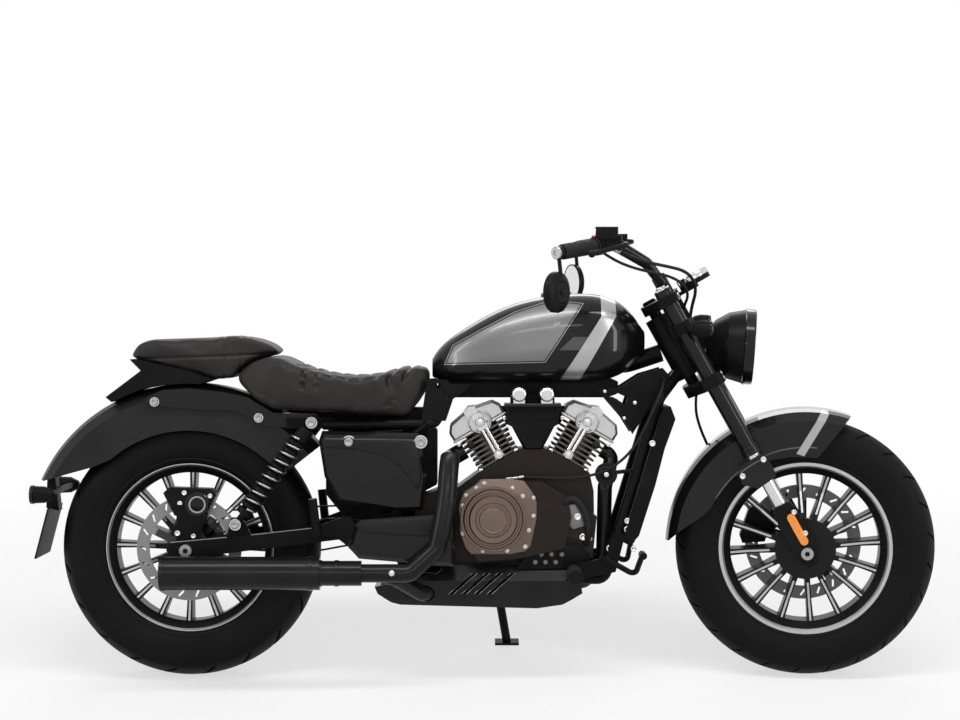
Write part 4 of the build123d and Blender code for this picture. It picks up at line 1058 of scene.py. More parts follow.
tankTrim = {
    "x": 0.146, "z": 0.9474,
    # height over the tank and radius
    "cap": [(0, 0.040), (0.0035, 0.040), (0.0045, 0.039), (0.0045, 0.036), (0.0090, 0.033), (0.0100, 0.028),
            (0.0110, 0.016), (0.0110, 0.012), (0.0090, 0.0115), (0.0090, 0.008)],
    "lock": [(0.006, 0.008), (0.0098, 0.008), (0.0104, 0.007), (0.0104, 0.0022), (0.0085, 0.0018),
             (0.0085, 0.0002)],
}


def makeFiller():
    size = tankTrim
    up = Matrix.Translation((size["x"], 0, size["z"])) @ Matrix.Rotation(math.radians(-90), 4, "Y")
    hand(lathe("fillerCap", size["cap"], up), "chassis", "chrome", bikePlace, ("tank_cap",))
    hand(lathe("fillerLock", size["lock"], up, 32), "chassis", "steel", bikePlace)


makeFiller()

lampPlace = Matrix.Translation((0.560, 0, 0.820)) @ Matrix.Rotation(math.radians(4), 4, "Y")
lampProfiles = {
    # distance ahead of the bowl's centre and radius
    "bezel": [(0.050, 0.0925), (0.052, 0.0950), (0.058, 0.0950), (0.060, 0.0940), (0.072, 0.0940),
              (0.0765, 0.0915), (0.0765, 0.0850), (0.0735, 0.0830)],
    "dish": [(0.0632, 0.0800), (0.0632, 0.0812), (0.0540, 0.0752), (0.0445, 0.0612), (0.0365, 0.0410),
             (0.0325, 0.0180), (0.0315, 0.0005), (0.0330, 0.0005), (0.0340, 0.0180), (0.0380, 0.0400),
             (0.0460, 0.0600), (0.0560, 0.0740)],
    "bulb": [(0.0335, 0.0120), (0.0500, 0.0120), (0.0540, 0.0090), (0.0550, 0.0005)],
}


def makeHeadlamp():
    hand(lathe("lampBezel", lampProfiles["bezel"], lampPlace, 96), "steering", "glossBlack", steeredPlace)
    hand(lathe("lampDish", lampProfiles["dish"], lampPlace, 96), "steering", "chrome", steeredPlace)
    hand(lathe("lampBulb", lampProfiles["bulb"], lampPlace, 40), "steering", "greyPlate", steeredPlace)


makeHeadlamp()

signalSizes = {
    "front": {"x": 0.505, "y": 0.160, "z": 0.868, "face": 0.0262, "radius": 0.0150, "turn": 0,
              "lens": "amberLens"},
    "rear": {"x": -1.104, "y": 0.172, "z": 0.459, "face": 0.0282, "radius": 0.0180, "turn": 180,
             "lens": "redPlastic"},
}


def makeSignals():
    for key, size in signalSizes.items():
        wide = size["radius"]
        face = size["face"]
        rims = []
        faces = []
        for side in (-1, 1):
            place = Matrix.Translation((size["x"], side * size["y"], size["z"])) @ Matrix.Rotation(
                math.radians(size["turn"]), 4, "Z")
            rims.append(lathe("rim", [(face - 0.008, wide + 0.0048), (face - 0.002, wide + 0.0050),
                                      (face + 0.0004, wide + 0.0035), (face + 0.0004, wide + 0.0005),
                                      (face - 0.0006, wide)], place, 40))
            faces.append(lathe("lens", [(face - 0.001, wide + 0.0006), (face + 0.0010, wide - 0.003),
                                        (face + 0.0022, wide * 0.5), (face + 0.0026, 0.0004)], place, 40))
        body, place = ("steering", steeredPlace) if key == "front" else ("chassis", bikePlace)
        hand(joinUp(key + "SignalRims", rims), body, "glossBlack", place)
        hand(joinUp(key + "SignalLenses", faces), body, size["lens"], place)


makeSignals()

plateSizes = {"top": (-1.1078, 0.414), "low": (-1.1364, 0.301), "half": 0.086}


def makePlate():
    size = plateSizes
    (x1, z1), (x0, z0) = size["top"], size["low"]
    back = Vector((z0 - z1, 0, x1 - x0)).normalized() * -0.0045
    if back.x > 0:
        back = -back
    piece = start("blankPlate", "grid", x_subdivisions=1, y_subdivisions=1, size=1.0)
    corners = [(x0, -size["half"], z0), (x0, size["half"], z0), (x1, -size["half"], z1),
               (x1, size["half"], z1)]
    for vertex, corner in zip(piece.data.vertices, corners):
        vertex.co = Vector(corner) + back * 0.1
    pickFaces(piece, lambda c, n: True)
    pull(tuple(back * 0.4))
    inset(0.004)
    inset(0.0015, 0.0006)
    leaveEdit()
    tidyMesh(piece)
    modify(piece, "BEVEL", width=0.0005, segments=2, limit_method="ANGLE")
    smooth(piece)
    hand(piece, "chassis", "plateWhite", bikePlace)


makePlate()

dialSizes = {"x": 0.080, "z": 0.703, "top": 0.0242, "glass": 0.0365, "rim": 0.0415}


def makeDial():
    size = dialSizes
    up = Matrix.Translation((size["x"], 0, size["z"])) @ Matrix.Rotation(math.radians(-90), 4, "Y")
    top = size["top"]
    rim = lathe("dialRim", [(top - 0.012, size["rim"]), (top - 0.002, size["rim"] + 0.0005),
                            (top + 0.0016, size["rim"] - 0.001), (top + 0.0016, size["glass"] + 0.001),
                            (top, size["glass"])], up)
    hand(rim, "steering", "chrome", forkPlace)
    face = lathe("dialFace", [(top + 0.0002, size["glass"] + 0.0006), (top + 0.0005, 0.030),
                              (top + 0.0006, 0.0003)], up)
    hand(face, "steering", "dialFace", forkPlace)


makeDial()
print("stage: body trim and lamps")


casingScrews = [
    # x, y, z and head radius, screws round the right casing
    (-0.055, -0.1368, 0.473, 0.0052), (-0.036, -0.1368, 0.484, 0.0052), (0.033, -0.1368, 0.473, 0.0052),
    (0.058, -0.1368, 0.453, 0.0056), (-0.080, -0.1368, 0.455, 0.0052), (-0.088, -0.1368, 0.430, 0.0052),
    (-0.088, -0.1368, 0.362, 0.0052), (0.073, -0.1368, 0.370, 0.0056), (0.064, -0.1368, 0.330, 0.0056),
    (-0.039, -0.1368, 0.320, 0.0052), (0.020, -0.1368, 0.320, 0.0052), (0.084, -0.1368, 0.449, 0.0050),
    (0.084, -0.1368, 0.405, 0.0052),
]
lowerScrews = [
    (0.134, -0.1042, 0.436, 0.0055), (0.154, -0.1042, 0.437, 0.0050), (0.128, -0.1042, 0.408, 0.0052),
    (0.145, -0.1042, 0.384, 0.0050), (0.128, -0.1042, 0.330, 0.0050), (0.224, -0.1042, 0.346, 0.0050),
]
casingFlange = {"outline": [(-0.055, 0.482), (-0.043, 0.494), (0.028, 0.495), (0.062, 0.490), (0.082, 0.462),
                            (0.092, 0.440), (0.092, 0.398), (0.078, 0.330), (0.064, 0.318), (0.028, 0.311),
                            (-0.068, 0.311), (-0.082, 0.326), (-0.096, 0.364), (-0.097, 0.430),
                            (-0.086, 0.462)],
                "from": -0.120, "to": -0.1366}
clutchRings = {
    # distance out from the bike's middle and radius
    "profile": [(0.1495, 0.0795), (0.1515, 0.0795), (0.1525, 0.0785), (0.1525, 0.0735), (0.1640, 0.0705),
                (0.1668, 0.0700), (0.1680, 0.0688), (0.1680, 0.0655), (0.1668, 0.0640), (0.1668, 0.0600),
                (0.1700, 0.0578), (0.1758, 0.0568), (0.1772, 0.0555), (0.1768, 0.0445), (0.1780, 0.0435),
                (0.1780, 0.0420), (0.1765, 0.0405), (0.1765, 0.0345), (0.1812, 0.0335), (0.1822, 0.0325),
                (0.1822, 0.0295), (0.1814, 0.0285), (0.1814, 0.0270), (0.1820, 0.0262), (0.1824, 0.0003)],
    "x": -0.014, "z": 0.398}


def makeCasing():
    size = casingFlange
    flange = outlinePlate("casingFlange", size["outline"], size["from"], size["to"], 0.0025, 3)
    hand(flange, "chassis", "bronzeAlloy", bikePlace)
    rings = lathe("clutchRings", clutchRings["profile"], sideways(clutchRings["x"], -0.00001,
                                                                  clutchRings["z"]), 128, 22)
    hand(rings, "chassis", "bronzeAlloy", bikePlace)
    fasten("casingScrews", "chassis", "silverAlloy", bikePlace, "cap", casingScrews + lowerScrews)


makeCasing()

bankSizes = {"foot": (0.086, 0, 0.386), "turn": 30.0}
coverLip = {"half": 0.0745, "wide": 0.0635, "low": 0.2625, "high": 0.2685}
bankTrim = {
    # distance out and radius of each turned piece
    "arch": [(0.062, 0.0300), (0.0700, 0.0285), (0.0712, 0.0270), (0.0705, 0.0250), (0.0640, 0.0235),
             (0.0640, 0.0200)],
    "boss": [(0.066, 0.0120), (0.0785, 0.0120), (0.0800, 0.0105), (0.0800, 0.0078), (0.0785, 0.0070),
             (0.0785, 0.0058), (0.0825, 0.0052), (0.0830, 0.0003)],
    "plug": [(0, 0.010), (0.006, 0.010), (0.008, 0.0075), (0.020, 0.0070), (0.022, 0.0050), (0.022, 0.0003)],
    # along the bank and up it
    "screws": [(-0.066, 0.256), (0.066, 0.256), (-0.050, 0.172), (0.050, 0.172)], "screwY": -0.0625,
    "screwR": 0.0056, "plugAt": (0.040, -0.0622, 0.240),
}
pushrod = {"x": 0.008, "low": 0.186, "high": 0.278}


def bankPlace(sign):
    return Matrix.Translation(bankSizes["foot"]) @ Matrix.Rotation(
        math.radians(sign * bankSizes["turn"]), 4, "Y")


def makeBanks():
    lips = []
    bosses = []
    domes = []
    plugs = []
    for sign in (-1, 1):
        place = bankPlace(sign)
        size = coverLip
        lip = outlinePlate("lip", [(-size["half"], size["low"]), (-size["half"], size["high"]),
                                   (size["half"], size["high"]), (size["half"], size["low"])],
                           -size["wide"], size["wide"], 0.002, 3)
        lip.data.transform(place)
        lips.append(lip)
        arch = lathe("arch", bankTrim["arch"],
                     place @ Matrix.Translation((-sign * pushrod["x"], 0, pushrod["high"])) @ Matrix.Rotation(
                         math.radians(-90), 4, "Z"), 48)
        lips.append(arch)
        for height in (pushrod["low"], pushrod["high"]):
            spot = place @ Vector((-sign * pushrod["x"], 0, height))
            bosses.append(lathe("boss", bankTrim["boss"], sideways(spot.x, -0.00001, spot.z), 32))
        for x, z in bankTrim["screws"]:
            spot = place @ Vector((x, bankTrim["screwY"], z))
            domes.append((spot.x, spot.y, spot.z, bankTrim["screwR"]))
        along, out, up = bankTrim["plugAt"]
        spot = place @ Vector((sign * along, out, up))
        plugs.append(lathe("plug", bankTrim["plug"], sideways(*spot), 24))
    hand(joinUp("coverLips", lips), "chassis", "silverAlloy", bikePlace)
    hand(joinUp("pushrodBosses", bosses), "chassis", "chrome", bikePlace)
    fasten("bankScrews", "chassis", "chrome", bikePlace, "cap", domes)
    hand(joinUp("plugCaps", plugs), "chassis", "grip", bikePlace)


makeBanks()

intakeSizes = {"x": (0.050, 0.118), "z": 0.700, "collar": 0.0215, "from": 0.066, "to": 0.078}


def makeIntake():
    size = intakeSizes
    collars = [lathe("collar", [(size["from"], size["collar"]), (size["to"], size["collar"]),
                                (size["to"] + 0.0015, size["collar"] - 0.0015),
                                (size["to"] + 0.0015, 0.0185)],
                     sideways(x, -0.00001, size["z"]), 48) for x in size["x"]]
    hand(joinUp("intakeCollars", collars), "chassis", "glossBlack", bikePlace)
    rim = outlinePlate("boxRim", [(0.013, 0.6685), (0.013, 0.6775), (0.153, 0.6775), (0.153, 0.6685)],
                       -0.080, -0.1075,
                       0.0015, 3)
    hand(rim, "chassis", "glossBlack", bikePlace)


makeIntake()

pumpPlate = {"outline": [(0.168, 0.431), (0.198, 0.433), (0.214, 0.381), (0.182, 0.371), (0.166, 0.386)],
             "from": -0.1195, "to": -0.1240}
dimpledPlate = {"outline": [(0.040, 0.272), (0.092, 0.334), (0.196, 0.334), (0.222, 0.308), (0.222, 0.276)],
                "from": -0.1125, "to": -0.1155,
                "rows": [(0.104, 0.309), (0.129, 0.309), (0.154, 0.309), (0.089, 0.290), (0.114, 0.290),
                         (0.139, 0.290)],
                "dimple": [(0.0, 0.0062), (0.0022, 0.0052), (0.0022, 0.0040), (0.0006, 0.0030),
                           (0.0006, 0.0003)]}
smallParts = {
    # x, y, z and head radius
    "bolts": [(0.192, -0.1242, 0.402, 0.0085), (0.205, -0.1158, 0.352, 0.0085),
              (0.270, -0.1268, 0.325, 0.0085), (0.314, -0.1130, 0.391, 0.0075),
              (0.314, -0.1130, 0.370, 0.0085), (0.328, -0.1268, 0.324, 0.0070)],
    "neck": [(0.262, -0.0642, 0.706, 0.0040), (0.336, -0.0642, 0.678, 0.0048),
             (0.310, -0.0642, 0.640, 0.0040)],
}


def makeLowerParts():
    size = pumpPlate
    hand(outlinePlate("pumpPlate", size["outline"], size["from"], size["to"], 0.0008), "chassis",
         "greyPlate", bikePlace)
    size = dimpledPlate
    hand(outlinePlate("dimpledPlate", size["outline"], size["from"], size["to"], 0.0008), "chassis",
         "frameBlack",
         bikePlace)
    dimples = [lathe("dimple", size["dimple"],
                     sideways(x, size["to"], z), 24) for x, z in size["rows"]]
    hand(joinUp("dimples", dimples), "chassis", "greyPlate", bikePlace)
    fasten("frameBolts", "chassis", "chrome", bikePlace, "socket", smallParts["bolts"])
    fasten("neckScrews", "chassis", "chrome", bikePlace, "cap", smallParts["neck"])


makeLowerParts()

hornSizes = {
    "x": 0.262, "z": 0.505, "nutY": -0.1302, "nutR": 0.0065,
    # distance out from the middle and radius
    "grille": [(0.124, 0.0270), (0.1262, 0.0265), (0.1262, 0.0235), (0.1250, 0.0220), (0.1262, 0.0190),
               (0.1262, 0.0165), (0.1250, 0.0150), (0.1250, 0.0142)],
}


def makeHorn():
    size = hornSizes
    cone = lathe("hornGrille", size["grille"], sideways(size["x"], -0.00001, size["z"]), 48)
    hand(cone, "chassis", "glossBlack", bikePlace)
    fasten("hornNut", "chassis", "chrome", bikePlace, "hex", [(size["x"], size["nutY"], size["z"],
                                                               size["nutR"])])


makeHorn()

cowlBolt = {"x": 0.374, "y": -0.1262, "z": 0.581, "radius": 0.0078}
panSlots = {"first": -0.123, "pitch": 0.031, "count": 4, "lip": 0.0013,
            # forward of the slot's foot, out from the middle and height
            "edge": [(0.0, 0.1268, 0.213), (0.0382, 0.1268, 0.2448), (0.0582, 0.1165, 0.2630)],
            "wide": 0.0125}


def makePanTrim():
    fasten("cowlBolts", "chassis", "chrome", bikePlace, "socket",
           leftToo([(cowlBolt["x"], cowlBolt["y"], cowlBolt["z"], cowlBolt["radius"])]))
    size = panSlots
    lips = []
    for i in range(size["count"]):
        for shift in (0, size["wide"]):
            x = size["first"] + size["pitch"] * i + shift
            for side in (-1, 1):
                points = [(x + ahead, side * out, z) for ahead, out, z in size["edge"]]
                lips.append(meshed(tube("lip", points, size["lip"], 2, 2, 1)))
    # grey strips along the slot edges of the belly pan: a painted highlight on the slot lips
    hand(joinUp("panSlotHighlightStrips", lips), "chassis", "greyPlate", bikePlace)


makePanTrim()

pipeTrim = {
    "shield": [(-0.118, -0.160, 0.548), (-0.1215, -0.1745, 0.530), (-0.1260, -0.1900, 0.440),
               (-0.1430, -0.1930, 0.356)],
    "shieldR": 0.0240, "mufflerY": -0.210, "mufflerZ": 0.273,
    # distance behind the joint and radius: the tip, then each band
    "tip": [(0.470, 0.0304), (0.4825, 0.0304), (0.4838, 0.0320), (0.4838, 0.0392), (0.4825, 0.0405),
            (0.4780, 0.0405)],
    "bands": [(0.060, 0.0310), (0.100, 0.0310), (0.124, 0.0412), (0.478, 0.0412)], "joint": -0.330,
    "wide": 0.010, "bolts": [(-0.257, -0.2330, 0.276, 0.0075), (-0.452, -0.2410, 0.276, 0.0050)],
}


def makePipeTrim():
    size = pipeTrim
    shield = meshed(tube("pipeShield", size["shield"], size["shieldR"], 12, 3, 10))
    smooth(shield, 40)
    hand(shield, "chassis", "exhaustBlack", bikePlace)
    back = Matrix.Translation((size["joint"], size["mufflerY"],
                               size["mufflerZ"])) @ Matrix.Rotation(math.pi, 4, "Z")
    bands = []
    for behind, radius in size["bands"]:
        wide = size["wide"] / 2
        bands.append(lathe("band", [(behind - wide, radius - 0.0012), (behind - wide, radius),
                                    (behind - wide + 0.001,
                                    radius + 0.0008), (behind + wide - 0.001, radius + 0.0008),
                                    (behind + wide, radius), (behind + wide, radius - 0.0012)], back, 64))
    lip = lathe("tip", size["tip"], back, 64)
    hand(joinUp("mufflerBands", bands + [lip]), "chassis", "exhaustBlack", bikePlace)
    fasten("mufflerBolt", "chassis", "chrome", bikePlace, "hex", size["bolts"])


makePipeTrim()
print("stage: engine and exhaust")


barEnd = Vector((0.181, 0.386, 1.058))
barRun = (Vector((0.285, 0.236, 1.075)) - barEnd).normalized()
gripSizes = {"length": 0.117, "low": 0.0172, "high": 0.0184, "ribs": 22, "endR": 0.0135, "capFrom": 0.022}


def alongGrip(distance, side):
    spot = barEnd + barRun * distance
    return Vector((spot.x, side * spot.y, spot.z))


def gripPlace(distance, side):  # its x axis points out along the bar
    out = -Vector((barRun.x, side * barRun.y, barRun.z))
    return Matrix.Translation(alongGrip(distance, side)) @ out.to_track_quat("X", "Z").to_matrix().to_4x4()


def makeGrips():
    size = gripSizes
    pitch = size["length"] / size["ribs"]
    profile = [(-size["length"], size["low"] - 0.002)]
    for i in range(size["ribs"]):
        at = -size["length"] + pitch * i
        profile += [(at, size["low"]), (at + pitch * 0.2, size["high"]), (at + pitch * 0.75, size["high"])]
    profile += [(0, size["low"]), (0, size["low"] - 0.003)]
    ends = [(size["capFrom"], 0.0152), (0.0245, 0.0152), (0.0262, size["endR"]), (0.0262, 0.0062),
            (0.0240, 0.0058), (0.0240, 0.0003)]
    sleeves = [lathe("sleeve", profile, gripPlace(0, side), 40) for side in (-1, 1)]
    hand(joinUp("gripRibs", sleeves), "steering", "grip", steeredPlace)
    caps = [lathe("cap", ends, gripPlace(0, side), 36) for side in (-1, 1)]
    hand(joinUp("barEnds", caps), "steering", "steel", steeredPlace)


makeGrips()

mirrorSizes = {"up": -0.014, "down": 0.092, "out": 0.005, "back": 0.006, "turn": 29, "stem": 0.0048,
               "stemTop": (0, 0.004, -0.012), "stemEnd": (0.012, 0, 0.020),
               "hub": [(0.012, 0.010), (0.020, 0.009), (0.0225, 0.0075), (0.0225, 0.0003)],
               "collar": [(0.0065, 0.0120), (0.0070, 0.0150), (0.0215, 0.0150), (0.0218, 0.0120)],
               "shell": [(-0.0060, 0.0462), (-0.0060, 0.0480), (0.0050, 0.0480), (0.0090, 0.0465),
                         (0.0140, 0.0385), (0.0178, 0.0290), (0.0180, 0.0270), (0.0160, 0.0255),
                         (0.0180, 0.0240), (0.0182, 0.0003)],
               "glass": [(-0.0052, 0.0462), (-0.0054, 0.0240), (-0.0052, 0.0003)]}


def makeMirrors():
    size = mirrorSizes
    shells = []
    glasses = []
    stems = []
    for side in (-1, 1):
        top = alongGrip(size["up"], side)
        bendX, bendY, bendZ = size["stemTop"]
        head = top + Vector((-size["back"], side * size["out"], -size["down"]))
        place = Matrix.Translation(head) @ Matrix.Rotation(math.radians(side * size["turn"]), 4, "Z")
        shells.append(lathe("shell", size["shell"], place, 72, 30))
        glasses.append(lathe("glass", size["glass"], place, 72))
        low = head + Vector(size["stemEnd"])
        stems.append(meshed(tube("stem", [top, top + Vector((bendX, side * bendY, bendZ)), (top + low) / 2,
                                          low],
                                 size["stem"], 8, 3, 6)))
        stems.append(lathe("hub", size["hub"], place, 32))
        shells.append(lathe("collar", size["collar"], gripPlace(0, side), 40))
    hand(joinUp("mirrorShells", shells), "steering", "satinBlack", steeredPlace, ("mirrors",))
    hand(joinUp("mirrorGlasses", glasses), "steering", "mirrorGlass", steeredPlace)
    hand(joinUp("mirrorStems", stems), "steering", "satinBlack", steeredPlace)


makeMirrors()


def block(name, centre, size, bevel=0.0015, turn=0.0):
    piece = start(name, "cube", size=1.0)
    piece.scale = size
    bake(piece)
    modify(piece, "BEVEL", width=bevel, segments=2, limit_method="ANGLE")
    smooth(piece)
    piece.data.transform(Matrix.Translation(centre) @ Matrix.Rotation(math.radians(turn), 4, "Z"))
    return piece


switchTable = [
    # distance along the grip, offset from the bar, size and finish
    (0.137, (-0.004, 0, 0.0215), (0.022, 0.014, 0.007), "redPlastic"),
    (0.139, (-0.020, 0, 0.010), (0.008, 0.012, 0.012), "greyPlate"),
    (0.150, (-0.020, 0, -0.004), (0.007, 0.014, 0.009), "satinBlack"),
]
reservoir = {"along": 0.150, "ahead": 0.014, "up": 0.030, "size": (0.0545, 0.0525, 0.0040), "lidUp": 0.0415,
             "glassR": 0.0075}


def makeSwitches():
    for i, (distance, offset, size, finish) in enumerate(switchTable):
        keys = [block("key", alongGrip(distance, side) + Vector(offset), size) for side in (-1, 1)]
        hand(joinUp("switches" + str(i), keys), "steering", finish, steeredPlace)
    size = reservoir
    spot = alongGrip(size["along"], -1) + Vector((size["ahead"], 0, size["lidUp"]))
    hand(block("reservoirLid", spot, size["size"], 0.0012), "steering", "glossBlack", steeredPlace)
    glass = lathe("sightGlass", [(0, size["glassR"]), (0.0016, size["glassR"] - 0.001),
                                 (0.0010, size["glassR"] - 0.0022),
                                 (0.0010, 0.0003)],
                  Matrix.Translation(alongGrip(size["along"], -1) + Vector((-0.0122, 0, size["up"])))
                  @ Matrix.Rotation(math.pi, 4, "Z"), 24)
    hand(glass, "steering", "chrome", steeredPlace)


makeSwitches()

leverBall = {"ahead": 0.062, "down": -0.006, "radius": 0.0088}


def makeLeverBalls():
    balls = []
    for side in (-1, 1):
        spot = alongGrip(0.010, side) + Vector((leverBall["ahead"], 0, leverBall["down"]))
        ball = start("ball", "uv_sphere", segments=24, ring_count=14, radius=leverBall["radius"],
                     location=spot)
        bake(ball)
        smooth(ball, 80)
        balls.append(ball)
    hand(joinUp("leverBalls", balls), "steering", "satinBlack", steeredPlace)


makeLeverBalls()

forkTrim = {
    "half": 0.105,
    # height along the fork line and (distance above it, radius) pairs
    "capZ": 0.731, "cap": [(0, 0.0200), (0.0020, 0.0200), (0.0035, 0.0185), (0.0035, 0.0120),
                           (0.0085, 0.0115), (0.0095, 0.0100), (0.0095, 0.0003)],
    "seals": [(0.276, 0.0240), (0.292, 0.0226), (0.462, 0.0222), (0.692, 0.0222)], "sealWide": 0.0060,
    # x and z on the fork, head radius
    "bolts": [(-0.046, 0.240, 0.0072), (0.018, 0.252, 0.0072), (0.021, 0.104, 0.0066),
              (0.020, 0.046, 0.0066)],
    "boltY": 0.1292, "castY": 0.1302,
    # x, y and z on the fork, head radius: clamp bolts on the front of the yokes
    "clamps": [(0.0262, 0.082, 0.484, 0.0062), (0.0262, 0.082, 0.470, 0.0062),
               (0.0262, 0.082, 0.702, 0.0062)],
}


def makeForkTrim():
    size = forkTrim
    caps = []
    seals = []
    bolts = []
    clamps = []
    for side in (-1, 1):
        y = side * size["half"]
        up = Matrix.Translation((0, y, 0)) @ Matrix.Rotation(math.radians(-90), 4, "Y")
        caps.append(lathe("cap", [(size["capZ"] + h, r) for h, r in size["cap"]], up, 36))
        for z, radius in size["seals"]:
            wide = size["sealWide"] / 2
            seals.append(lathe("seal", [(z - wide, radius - 0.0016), (z - wide, radius),
                                        (z - wide * 0.5, radius + 0.0008),
                                        (z + wide * 0.5, radius + 0.0008), (z + wide, radius),
                                        (z + wide, radius - 0.0016)], up, 48))
        bolts += [(x, side * (size["boltY"] if i < 2 else size["castY"]), z, r)
                  for i, (x, z, r) in enumerate(size["bolts"])]
        for x, across, z, radius in size["clamps"]:
            clamps.append(lathe("clamp", [(0, radius), (radius * 0.8, radius), (radius * 0.9, radius * 0.9),
                                          (radius * 0.9, radius * 0.5), (radius * 0.5, radius * 0.45),
                                          (radius * 0.5, 0.0003)],
                                          Matrix.Translation((x, side * across, z)), 24))
    hand(joinUp("forkCaps", caps), "steering", "chrome", forkPlace)
    hand(joinUp("forkSeals", seals), "steering", "glossBlack", forkPlace)
    hand(joinUp("yokeBolts", clamps), "steering", "chrome", forkPlace)
    fasten("forkBolts", "steering", "chrome", forkPlace, "socket", bolts)


makeForkTrim()

springs = {"top": (-0.455, 0.632), "low": (-0.641, 0.384), "y": 0.130, "from": 0.050, "turns": 9,
           "margin": 0.098,
           "radius": 0.0212, "wire": 0.0030}


def makeSprings():
    size = springs
    run = Vector((size["low"][0] - size["top"][0], 0, size["low"][1] - size["top"][1]))
    pitch = (run.length - size["margin"]) / size["turns"]
    coils = []
    for side in (-1, 1):
        coil = start("coil", "circle", vertices=10, radius=size["wire"], location=(size["radius"], 0, 0),
                     rotation=(math.radians(90), 0, 0))
        bake(coil)
        modify(coil, "SCREW", axis="Z", angle=math.tau, screw_offset=pitch, iterations=size["turns"],
               steps=24,
               render_steps=24, use_merge_vertices=False)
        place = Matrix.Translation((size["top"][0], side * size["y"], size["top"][1])) @ run.to_track_quat(
            "Z", "Y").to_matrix().to_4x4() @ Matrix.Translation((0, 0, size["from"]))
        coil.data.transform(place)
        tidyMesh(coil)
        smooth(coil, 60)
        coils.append(coil)
    hand(joinUp("shockSprings", coils), "chassis", "steel", bikePlace)


makeSprings()

rearBrake = {
    "x": -0.739, "z": 0.429, "y": -0.0928,
    "housing": [(0, 0.0310), (0.0045, 0.0300), (0.0065, 0.0275), (0.0065, 0.0210)],
    "piston": [(0.0062, 0.0212), (0.0078, 0.0208), (0.0078, 0.0172), (0.0062, 0.0165)],
    "bolts": [(-0.771, -0.0932, 0.458, 0.0062), (-0.782, -0.0932, 0.432, 0.0062),
              (-0.708, -0.0932, 0.450, 0.0058), (-0.787, -0.0982, 0.359, 0.0070),
              (-0.748, -0.0982, 0.352, 0.0060)],
}


def makeRearBrake():
    size = rearBrake
    place = sideways(size["x"], size["y"], size["z"])
    hand(lathe("brakeHousing", size["housing"] + [(0.0050, 0.0195), (0.0050, 0.0003)], place, 48), "chassis",
         "glossBlack", bikePlace)
    hand(lathe("brakePiston", size["piston"], place, 48), "chassis", "steel", bikePlace)
    fasten("brakeBolts", "chassis", "chrome", bikePlace, "socket", size["bolts"])


makeRearBrake()

# grey strips along the swingarm's top edge: a painted highlight on its bevelled edge
armHighlightStrip = {"lines": [[(-0.800, 0.1238, 0.3385), (-0.762, 0.1238, 0.3415), (-0.664, 0.1238, 0.3510)],
                     [(-0.604, 0.1238, 0.3570), (-0.500, 0.1238, 0.3675), (-0.420, 0.1238, 0.3775)]],
                     "radius": 0.0016}


def makeArmEdges():
    lines = []
    for side in (-1, 1):
        for points in armHighlightStrip["lines"]:
            lines.append(meshed(tube("line", [(x, side * y, z) for x, y, z in points], armHighlightStrip["radius"], 2,
                                     2, 1)))
    # the grey strips paint the highlight along the swingarm's top edge
    hand(joinUp("armHighlightStrips", lines), "chassis", "greyPlate", bikePlace)


makeArmEdges()

coverBand = {"outline": [(-0.424, 0.597), (-0.430, 0.588), (-0.427, 0.572), (-0.340, 0.566), (-0.280, 0.552),
                         (-0.238, 0.524), (-0.206, 0.478), (-0.196, 0.470), (-0.188, 0.500), (-0.196, 0.560),
                         (-0.204, 0.593)],
             "from": -0.142, "to": -0.1492}
pivotRidge = {"outline": [(-0.342, 0.388), (-0.330, 0.394), (-0.112, 0.406), (-0.112, 0.352),
                          (-0.335, 0.366)],
              "from": -0.156, "to": -0.1618}


def makeCoverBands():
    for name, size, finish in (("coverBand", coverBand, "glossBlack"),
                               ("pivotRidge", pivotRidge, "fenderBlack")):
        band = outlinePlate(name, size["outline"], size["from"], size["to"], 0.003, 4)
        hand(band, "chassis", finish, bikePlace)


makeCoverBands()

innerParts = {
    # outline in x and z, and half of the width across the bike
    "batteryBox": ([(-0.428, 0.598), (-0.240, 0.606), (-0.200, 0.628), (-0.152, 0.610), (-0.152, 0.474),
                    (-0.206, 0.446), (-0.214, 0.300), (-0.238, 0.300), (-0.244, 0.384), (-0.376, 0.386),
                    (-0.428, 0.450)], 0.040, "plasticBlack"),
    "coilTray": ([(-0.150, 0.690), (-0.150, 0.741), (0.270, 0.741), (0.296, 0.730), (0.296, 0.700),
                  (0.270, 0.690)], 0.046,
                 "plasticBlack"),
    "seatTray": ([(-0.470, 0.628), (-0.470, 0.664), (-0.180, 0.664), (-0.160, 0.640), (-0.200, 0.628)],
                 0.050, "plasticBlack"),
    "intakeManifold": ([(0.062, 0.562), (0.110, 0.562), (0.166, 0.668), (0.006, 0.668)], 0.020,
                       "engineBlack"),
}


def makeInnerParts():
    for name, (outline, half, finish) in innerParts.items():
        hand(outlinePlate(name, outline, -half, half, 0.004, 3), "chassis", finish, bikePlace)


makeInnerParts()

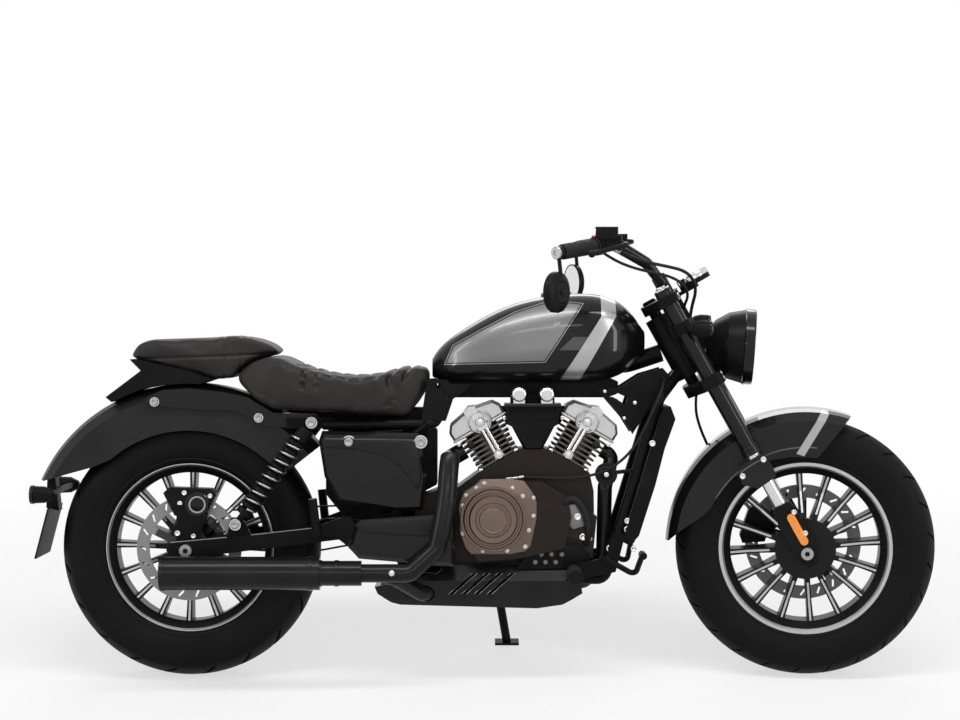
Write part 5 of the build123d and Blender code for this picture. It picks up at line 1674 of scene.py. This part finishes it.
cordTable = {
    # body, radius and points in metres from the upright bike, as in the solids
    "clutch_cable": ("chassis", 0.0035, [
        (0.404, -0.0652, 0.742), (0.406, -0.100, 0.734), (0.396, -0.124, 0.706), (0.378, -0.132, 0.666),
        (0.356, -0.136, 0.620), (0.332, -0.138, 0.574), (0.294, -0.139, 0.534), (0.246, -0.136, 0.508),
        (0.196, -0.128, 0.497), (0.146, -0.120, 0.495), (0.098, -0.112, 0.496), (0.052, -0.108, 0.497),
        (0.014, -0.106, 0.490), (-0.014, -0.104, 0.472), (-0.028, -0.104, 0.452)]),
    "brake_hose": ("steering", 0.004, [
        (0.298, -0.262, 1.062), (0.334, -0.256, 1.046), (0.378, -0.240, 1.030), (0.424, -0.212, 1.020),
        (0.462, -0.176, 1.010), (0.486, -0.136, 0.988), (0.492, -0.098, 0.956), (0.482, -0.068, 0.920),
        (0.476, -0.054, 0.880), (0.486, -0.050, 0.838), (0.508, -0.050, 0.798), (0.5347, -0.050, 0.756)]),
    "throttle_cables": ("steering", 0.0035, [
        (0.269, -0.257, 1.055), (0.296, -0.246, 1.036), (0.338, -0.226, 1.018), (0.384, -0.200, 1.006),
        (0.428, -0.168, 0.996), (0.462, -0.136, 0.976), (0.474, -0.110, 0.948), (0.462, -0.074, 0.918),
        (0.458, -0.046, 0.878), (0.470, -0.034, 0.836), (0.494, -0.032, 0.794), (0.5242, -0.032, 0.750)]),
    "caliper_hose": ("steering", 0.0035, [
        (0.4946, 0.036, 0.700), (0.491, 0.054, 0.660), (0.500, 0.074, 0.616), (0.518, 0.090, 0.570),
        (0.542, 0.097, 0.524), (0.570, 0.097, 0.478), (0.598, 0.094, 0.438), (0.632, 0.086, 0.398)]),
    "water_hose": ("chassis", 0.009, [
        (0.150, -0.102, 0.418), (0.154, -0.128, 0.434), (0.182, -0.136, 0.450), (0.206, -0.136, 0.424),
        (0.217, -0.134, 0.388), (0.220, -0.126, 0.354), (0.212, -0.102, 0.334)]),
}


def layCords():
    for name, (body, radius, points) in cordTable.items():
        place = bikePlace if body == "chassis" else steeredPlace
        hand(tube(name + "Run", points, radius, 6, 3, 12), body, "grip", place, (name,))


layCords()

ferrules = [
    # the cord's body, start, end and radius of each metal sleeve
    ("chassis", (0.062, -0.1087, 0.4975), (0.018, -0.1062, 0.4915), 0.0052),
    ("chassis", (-0.016, -0.104, 0.470), (-0.026, -0.104, 0.455), 0.0056),
    ("steering", (0.296, -0.2622, 1.063), (0.312, -0.260, 1.0555), 0.0062),
    ("steering", (0.531, -0.050, 0.762), (0.521, -0.050, 0.778), 0.0060),
    ("steering", (0.618, 0.089, 0.4145), (0.630, 0.0865, 0.4005), 0.0058),
]


def makeFerrules():
    for body, place in (("chassis", bikePlace), ("steering", steeredPlace)):
        sleeves = []
        for owner, low, high, radius in ferrules:
            if owner != body:
                continue
            run = Vector(high) - Vector(low)
            spot = Matrix.Translation(low) @ run.to_track_quat("X", "Z").to_matrix().to_4x4()
            long = run.length
            sleeves.append(lathe("sleeve", [(0, radius - 0.0015), (0.0012, radius), (long * 0.3, radius),
                                            (long * 0.32, radius - 0.0008), (long * 0.68, radius - 0.0008),
                                            (long * 0.7, radius), (long - 0.0012, radius),
                                            (long, radius - 0.0015)],
                                 spot, 24))
        hand(joinUp(body + "Ferrules", sleeves), body, "steel", place)


makeFerrules()

pegSizes = {"x": 0.182, "z": 0.268, "from": 0.146, "to": 0.248, "radius": 0.0172, "ribs": 9}


def makePegRubbers():
    size = pegSizes
    pitch = (size["to"] - size["from"]) / size["ribs"]
    profile = [(size["from"], 0.0160)]
    for i in range(size["ribs"]):
        at = size["from"] + pitch * i
        profile += [(at, size["radius"]), (at + pitch * 0.15, size["radius"] + 0.0016),
                    (at + pitch * 0.7, size["radius"] + 0.0016), (at + pitch * 0.85, size["radius"])]
    profile += [(size["to"], size["radius"]), (size["to"], 0.0160)]
    rubbers = [lathe("rubber", profile, sideways(size["x"], side * 0.00001, size["z"]), 40)
               for side in (-1, 1)]
    hand(joinUp("pegRubbers", rubbers), "chassis", "grip", bikePlace)


makePegRubbers()
print("stage: controls, springs and cords")
